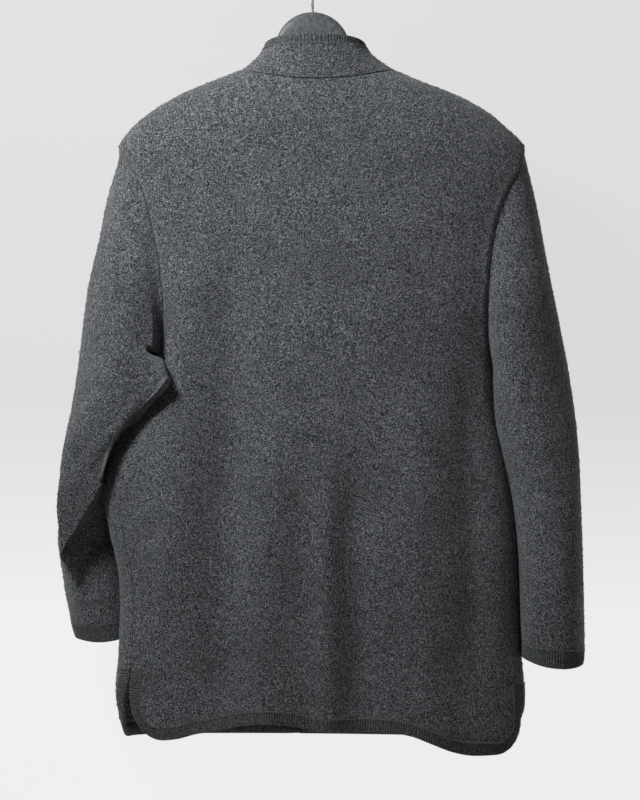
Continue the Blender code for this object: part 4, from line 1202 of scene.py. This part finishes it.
def fibres(name, outer, closed, seed, tree, finish):
    """Curled fibres on the outside of a cloth piece."""
    rows, columns = outer.shape[:2]
    source = make_mesh(name + "_skin", outer.reshape(-1, 3), grid_faces(rows, columns, closed), finish)
    return grown(name, source, tree, {**FIBRE_SIZES, "Seed": seed}, finish)


# Hanger, hook and buttons


def ridge_height(x):
    """Height of the shoulder's ridge over this place across."""
    name = "left" if x > 0 else "right"
    reach = np.abs(BODY[name][RIDGE_FIRST_ROW:])[::-1]
    return float(np.interp(abs(x), reach, BODY["z"][RIDGE_FIRST_ROW:][::-1]))


def hanger_section(x):
    """Top, bottom and half thickness of the hanger at this place across."""
    top = ridge_height(x) - (WOOL + SEAM_GAP) / math.cos(SHOULDER_SLOPE) * ARM_CLEARANCE
    if abs(x) < PLATE_BLEND:
        top = min(top, ridge_height(math.copysign(PLATE_BLEND, x)) - PLATE_BLEND_DROP)
    out = abs(x) / (ARM_REACH_LEFT if x > 0 else ARM_REACH_RIGHT)
    bottom = top - ARM_HEIGHT * (1 - ARM_TAPER * out)
    swell = float(ease(out * ARM_SWELL_RATE - ARM_SWELL_START))
    half = ARM_HALF_THICKNESS + (ARM_END_HALF_THICKNESS - ARM_HALF_THICKNESS) * swell
    if abs(x) <= PLATE_RADIUS:
        rise = math.sqrt(max(PLATE_RADIUS ** 2 - x * x, 0.0))
        top = max(top, PLATE_TOP_Z - PLATE_RADIUS + rise)
        half = PLATE_HALF_THICKNESS
    tip = max((out - ARM_TIP_FROM) / ARM_TIP_SPAN, 0.0)
    shrink = math.sqrt(max(1 - tip ** 2, ARM_TIP_LEAST))
    middle = (top + bottom) / 2
    return middle + (top - middle) * shrink, middle + (bottom - middle) * shrink, half * shrink


def closed_tube(name, rings, finish):
    """A piece from rings of points, closed by one face at each end."""
    count, around = len(rings), len(rings[0])
    faces = grid_faces(count, around, True)
    faces.append(list(range(around)))
    faces.append(list(range((count - 1) * around, count * around)))
    return make_mesh(name, np.concatenate(rings), faces, finish)


def hanger(finish):
    """A neck plate with a half-round top, and two arms that run under the shoulder ridges."""
    plate = PLATE_RADIUS * np.sin(np.radians(np.linspace(-90, 90, PLATE_COLUMNS)))
    left = np.linspace(ARM_START, ARM_REACH_LEFT, ARM_COLUMNS_LEFT)
    right = np.linspace(-ARM_REACH_RIGHT, -ARM_START, ARM_COLUMNS_RIGHT)
    turns = all_round(HANGER_ROUND)
    side, up = squared(np.cos(turns), HANGER_SIDE_POWER), squared(np.sin(turns), HANGER_TOP_POWER)
    rings = []
    for x in np.concatenate((right, plate, left)):
        top, bottom, half = hanger_section(float(x))
        heights = (top + bottom) / 2 + (top - bottom) / 2 * up
        rings.append(np.stack((np.full(HANGER_ROUND, x), half * side, heights), axis=1))
    return closed_tube("hanger_moulding", rings, finish)


def hook(finish):
    """A wire hook: a straight stem, a small bend and a round crook with a rounded tip."""
    centre_z = HOOK_WIRE - CROOK_RADIUS
    bend_low = centre_z + (CROOK_RADIUS + STEM_BEND_RADIUS) * math.sin(CROOK_START)
    points = [(0.0, z) for z in np.linspace(PLATE_TOP_Z - STEM_SINK, bend_low, STEM_ROWS)[:-1]]
    for angle in np.linspace(0, -CROOK_START, BEND_ROWS)[:-1]:
        aside = STEM_BEND_RADIUS * (1 - math.cos(angle))
        points.append((aside, bend_low + STEM_BEND_RADIUS * math.sin(angle)))
    for angle in np.linspace(CROOK_START, CROOK_END, CROOK_ROWS):
        points.append((CROOK_RADIUS * math.cos(angle), centre_z + CROOK_RADIUS * math.sin(angle)))
    points = np.array([(x, 0.0, z) for x, z in points])
    ahead = unit(np.gradient(points, axis=0))
    depth = np.array((0.0, 1.0, 0.0))
    sideways = np.cross(ahead, depth)[:, None, :]
    turns = all_round(HOOK_ROUND)[None, :, None]
    radius = np.full((len(points), 1, 1), HOOK_WIRE)
    radius[-len(HOOK_TIP):, 0, 0] *= HOOK_TIP
    rings = points[:, None, :] + radius * (np.cos(turns) * sideways + np.sin(turns) * depth)
    return closed_tube("hook_wire", rings, finish)


def button(number, level, finish):
    """A turned button with a raised rim, a dished middle and four holes, on the upper front."""
    half, radius = BUTTON_THICKNESS / 2, BUTTON_RADIUS
    profile = [
        (BUTTON_AXIS_RADIUS, -half), (radius * 0.80, -half), (radius * 0.95, -half * 0.55), (radius, 0.0),
        (radius * 0.97, half * 0.75), (radius * 0.90, half), (radius * 0.82, half * 0.95),
        (radius * 0.72, half * 0.35), (radius * 0.55, half * 0.15), (BUTTON_AXIS_RADIUS, half * 0.15),
    ]
    turns = all_round(BUTTON_ROUND)
    rings = [np.stack((r * np.cos(turns), r * np.sin(turns), np.full(BUTTON_ROUND, height)), axis=1)
             for r, height in profile]
    made = closed_tube(f"turned_button_{number}", rings, finish)
    for angle in math.pi / 4 + all_round(HOLE_COUNT):
        spot = (HOLE_PLACE * math.cos(angle), HOLE_PLACE * math.sin(angle), 0.0)
        bpy.ops.mesh.primitive_cylinder_add(
            vertices=HOLE_ROUND, radius=HOLE_RADIUS, depth=HOLE_DEPTH, location=spot
        )
        drill = bpy.context.object
        cut = made.modifiers.new("hole", "BOOLEAN")
        cut.object = drill
        cut.solver = "EXACT"
        evaluated = made.evaluated_get(bpy.context.evaluated_depsgraph_get())
        drilled = bpy.data.meshes.new_from_object(evaluated)
        made.modifiers.clear()
        made.data = drilled
        bpy.data.objects.remove(drill)
    made.data.name = made.name
    way = centre_way(level, 1)
    normal = body_normal(way, level)
    spot = body_point(way, level) + normal * LAP_LIFT + normal * (half + SEAM_GAP * 3)
    across = unit(np.cross((0.0, 0.0, 1.0), normal))
    axes = np.array((across, np.cross(normal, across), normal))
    points = np.zeros(len(made.data.vertices) * 3)
    made.data.vertices.foreach_get("co", points)
    made.data.vertices.foreach_set("co", (points.reshape(-1, 3) @ axes + spot).ravel())
    made.data.update()
    return made


# Finishes


def new_finish(name, roughness, **settings):
    """A material with its shader's even values set on the shader itself."""
    made = bpy.data.materials.new(name)
    made.use_nodes = True
    shader = made.node_tree.nodes["Principled BSDF"]
    shader.inputs["Roughness"].default_value = roughness
    for key, value in settings.items():
        shader.inputs[key.replace("_", " ")].default_value = value
    return made, made.node_tree, shader


def noise(tree, where, scale, detail=2.0, roughness=0.5, distortion=0.0):
    return node(
        tree, "ShaderNodeTexNoise",
        {"Vector": where, "Scale": scale, "Detail": detail, "Roughness": roughness, "Distortion": distortion},
    ).outputs[0]


def ramp(tree, value, *stops):
    """A colour ramp with stops of place and grey or colour."""
    made = tree.nodes.new("ShaderNodeValToRGB")
    tree.links.new(value, made.inputs[0])
    elements = made.color_ramp.elements
    while len(elements) < len(stops):
        elements.new(0.5)
    for element, (place, colour) in zip(elements, stops):
        element.position = place
        element.color = (*colour, 1.0) if isinstance(colour, tuple) else (colour, colour, colour, 1.0)
    return made.outputs[0]


def mixed(tree, kind, share, first, second):
    """Two colours mixed in one of the mix node's ways."""
    made = tree.nodes.new("ShaderNodeMix")
    made.data_type = "RGBA"
    made.blend_type = kind
    for socket, value in ((0, share), (6, first), (7, second)):
        if isinstance(value, bpy.types.NodeSocket):
            tree.links.new(value, made.inputs[socket])
        else:
            made.inputs[socket].default_value = value
    return made.outputs[2]


def roughen(tree, shader, height, strength, depth):
    """Joins a relief to the shader's normal."""
    bump = node(tree, "ShaderNodeBump", {"Strength": strength, "Distance": depth, "Height": height})
    tree.links.new(bump.outputs[0], shader.inputs["Normal"])


def curls(tree, where, scale, width):
    """Thin curled lines, where a noise passes its middle value."""
    off = maths(tree, "SUBTRACT", noise(tree, where, scale, **CURL_NOISE), 0.5)
    return ramp(tree, maths(tree, "ABSOLUTE", off), (0.0, 1.0), (width, 0.0))


def wool_finish(name):
    """Felted melange: pale and dark curled fibres over a mottled ground."""
    dark, middle, light = WOOL_SHADES[name]
    made, tree, shader = new_finish(
        name, 0.95, Sheen_Weight=0.25, Sheen_Roughness=0.55, Sheen_Tint=WOOL_SHEEN, Specular_IOR_Level=0.12
    )
    where = tree.nodes.new("ShaderNodeTexCoord").outputs["Object"]
    speck = noise(tree, where, **SPECK_NOISE)
    ground = ramp(tree, speck, *zip(SPECK_STOPS, (dark, middle, light)))
    pale = curls(tree, where, PALE_SCALE, PALE_WIDTH)
    shifted = node(tree, "ShaderNodeMapping", {"Vector": where, "Location": DEEP_SHIFT}).outputs[0]
    deep = curls(tree, shifted, DEEP_SCALE, DEEP_WIDTH)
    with_pale = mixed(tree, "MIX", maths(tree, "MULTIPLY", pale, PALE_SHARE), ground, (*light, 1.0))
    with_deep = mixed(tree, "MIX", maths(tree, "MULTIPLY", deep, DEEP_SHARE), with_pale, (*dark, 1.0))
    cloud = ramp(tree, noise(tree, where, **CLOUD_NOISE), *CLOUD_STOPS)
    tree.links.new(mixed(tree, "MULTIPLY", 1.0, with_deep, cloud), shader.inputs["Base Color"])
    roughen(tree, shader, maths(tree, "ADD", speck, pale), WOOL_BUMP, WOOL_BUMP_DEPTH)
    return made


def fibre_finish(name, dark, light):
    """Wool fibres, each between dark and light by its own shade."""
    made, tree, shader = new_finish(name, 0.8, Sheen_Weight=0.2, Specular_IOR_Level=0.2)
    shade = tree.nodes.new("ShaderNodeAttribute")
    shade.attribute_name = "shade"
    tree.links.new(ramp(tree, shade.outputs["Fac"], (0.2, dark), (0.95, light)), shader.inputs["Base Color"])
    return made


def plain_finish(name, **settings):
    """A finish mottled between two colours, with a fine grain in its surface."""
    dark, light, scale, roughness, bump, depth = PLAIN_FINISHES[name]
    made, tree, shader = new_finish(name, roughness, **settings)
    where = tree.nodes.new("ShaderNodeTexCoord").outputs["Object"]
    mottle = noise(tree, where, scale, detail=4.0, roughness=0.6)
    tree.links.new(ramp(tree, mottle, (0.3, dark), (0.7, light)), shader.inputs["Base Color"])
    roughen(tree, shader, mottle, bump, depth)
    return made


# Stage


def plane(name, corners, finish):
    mesh = bpy.data.meshes.new(name)
    mesh.from_pydata(corners, [], [(0, 1, 2, 3)])
    mesh.materials.append(finish)
    placed(name, mesh)


def lamp(name, place, target, size, power, colour, spread):
    """A round lamp at a place, turned to its target."""
    light = bpy.data.lights.new(name, "AREA")
    light.shape = "DISK"
    light.size = size
    light.energy = power
    light.spread = spread
    light.color = colour
    made = placed(name, light)
    made.location = place
    made.rotation_mode = "QUATERNION"
    made.rotation_quaternion = (Vector(target) - Vector(place)).to_track_quat("-Z", "Y")


def backdrop():
    """A pale wall close behind the jacket, with painted light: it glows by itself, brighter towards the floor
    and darker upwards, and is seen through from its far side.
    """
    paint_and_glow, tree, shader = new_finish("wall_paint_and_glow", 0.9, Emission_Strength=1.0, Specular_IOR_Level=0.0)
    shader.inputs["Base Color"].default_value = (WALL_PAINT, WALL_PAINT, WALL_PAINT, 1.0)
    where = tree.nodes.new("ShaderNodeTexCoord").outputs["Object"]
    height = node(tree, "ShaderNodeSeparateXYZ", {0: where}).outputs[2]
    share = node(tree, "ShaderNodeMapRange", {"Value": height, "From Min": -1.0, "From Max": 0.0}).outputs[0]
    # Painted light: the wall glows with no lamp, brighter low down and darker towards the top
    tree.links.new(ramp(tree, share, *WALL_GLOW), shader.inputs["Emission Color"])
    behind = tree.nodes.new("ShaderNodeNewGeometry").outputs["Backfacing"]
    clear = tree.nodes.new("ShaderNodeBsdfTransparent").outputs[0]
    choice = tree.nodes.new("ShaderNodeMixShader")
    tree.links.new(behind, choice.inputs[0])
    tree.links.new(shader.outputs[0], choice.inputs[1])
    tree.links.new(clear, choice.inputs[2])
    tree.links.new(choice.outputs[0], tree.nodes["Material Output"].inputs[0])
    reach = STAGE_REACH
    plane("backdrop_wall", [(reach, WALL_Y, FLOOR_Z), (-reach, WALL_Y, FLOOR_Z),
                            (-reach, WALL_Y, reach), (reach, WALL_Y, reach)], paint_and_glow)
    plane("backdrop_floor", [(-reach, -reach, FLOOR_Z), (reach, -reach, FLOOR_Z),
                             (reach, reach, FLOOR_Z), (-reach, reach, FLOOR_Z)], plain_finish("floor_paint"))
    world = bpy.data.worlds.new("studio")
    bpy.context.scene.world = world
    world.use_nodes = True
    sky = world.node_tree.nodes["Background"]
    sky.inputs["Color"].default_value = SKY_COLOUR
    sky.inputs["Strength"].default_value = SKY_STRENGTH


def camera():
    data = bpy.data.cameras.new("camera")
    data.sensor_width = CAMERA_SENSOR
    data.lens = CAMERA_LENS
    made = placed("camera", data)
    made.location = CAMERA_PLACE
    made.rotation_euler = (math.radians(90), 0.0, math.radians(180))
    bpy.context.scene.camera = made


# Making it all


def dress(made, replaced):
    """Puts a piece on the jacket's one body and hides the solid that it stands for."""
    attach(made, "root")
    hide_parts(replaced)


def sewn_pieces(wool, rib):
    """Each cut piece by its solid's name, with its outside and normals."""
    return {
        "back": back_panel(wool),
        "front_left": front_panel("cloth_front_left", 1, LAP_LIFT, wool),
        "front_right": front_panel("cloth_front_right", -1, 0.0, wool),
        "sleeve_left": sleeve("cloth_sleeve_left", 1, SLEEVE_LEFT, wool),
        "sleeve_right": sleeve("cloth_sleeve_right", -1, SLEEVE_RIGHT, wool),
        "collar": collar(wool),
        "band_collar": collar_band(rib),
        "band_hem_back": back_band(rib),
        "band_hem_front_left": front_band("knit_hem_front_left", 1, LAP_LIFT, rib),
        "band_hem_front_right": front_band("knit_hem_front_right", -1, 0.0, rib),
        "band_cuff_left": cuff_band("knit_cuff_left", SLEEVE_LEFT, rib),
        "band_cuff_right": cuff_band("knit_cuff_right", SLEEVE_RIGHT, rib),
    }


def main():
    camera()
    backdrop()
    for row in LAMPS:
        lamp(*row)
    bpy.context.scene.view_settings.view_transform = "Standard"

    wool, rib = wool_finish("boiled_wool"), wool_finish("rib_knit")
    fibre = fibre_finish("wool_fibre", *FIBRE_SHADES)
    thread = plain_finish("stitch_thread")
    stitches, scatter = stitch_tree(), fibre_tree()
    for seed, (replaced, (made, outer, normals)) in enumerate(sewn_pieces(wool, rib).items()):
        slot = "rib" if replaced.startswith("band") else "wool"
        closed = "sleeve" in replaced or "cuff" in replaced
        dress(made, replaced)
        trim = []
        if slot == "rib":
            seam = outer[-1] + normals[-1] * CHAIN_LIFT
            name = made.name.replace("knit", "chain")
            trim.append(stitch_line(name, seam, normals[-1], stitches, CHAIN_SIZES, thread, closed))
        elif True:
            name = made.name.replace("cloth", "fibres")
            trim.append(fibres(name, outer, closed, seed, scatter, fibre))
        for piece in trim:
            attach(piece, "root")

    dress(hanger(plain_finish("hanger_plastic")), "hanger")
    dress(hook(plain_finish("hook_steel", Metallic=1.0)), "hook")
    horn = plain_finish("button_horn")
    for number, level in enumerate(BUTTON_HEIGHTS, 1):
        dress(button(number, level, horn), f"button_{number}")


main()
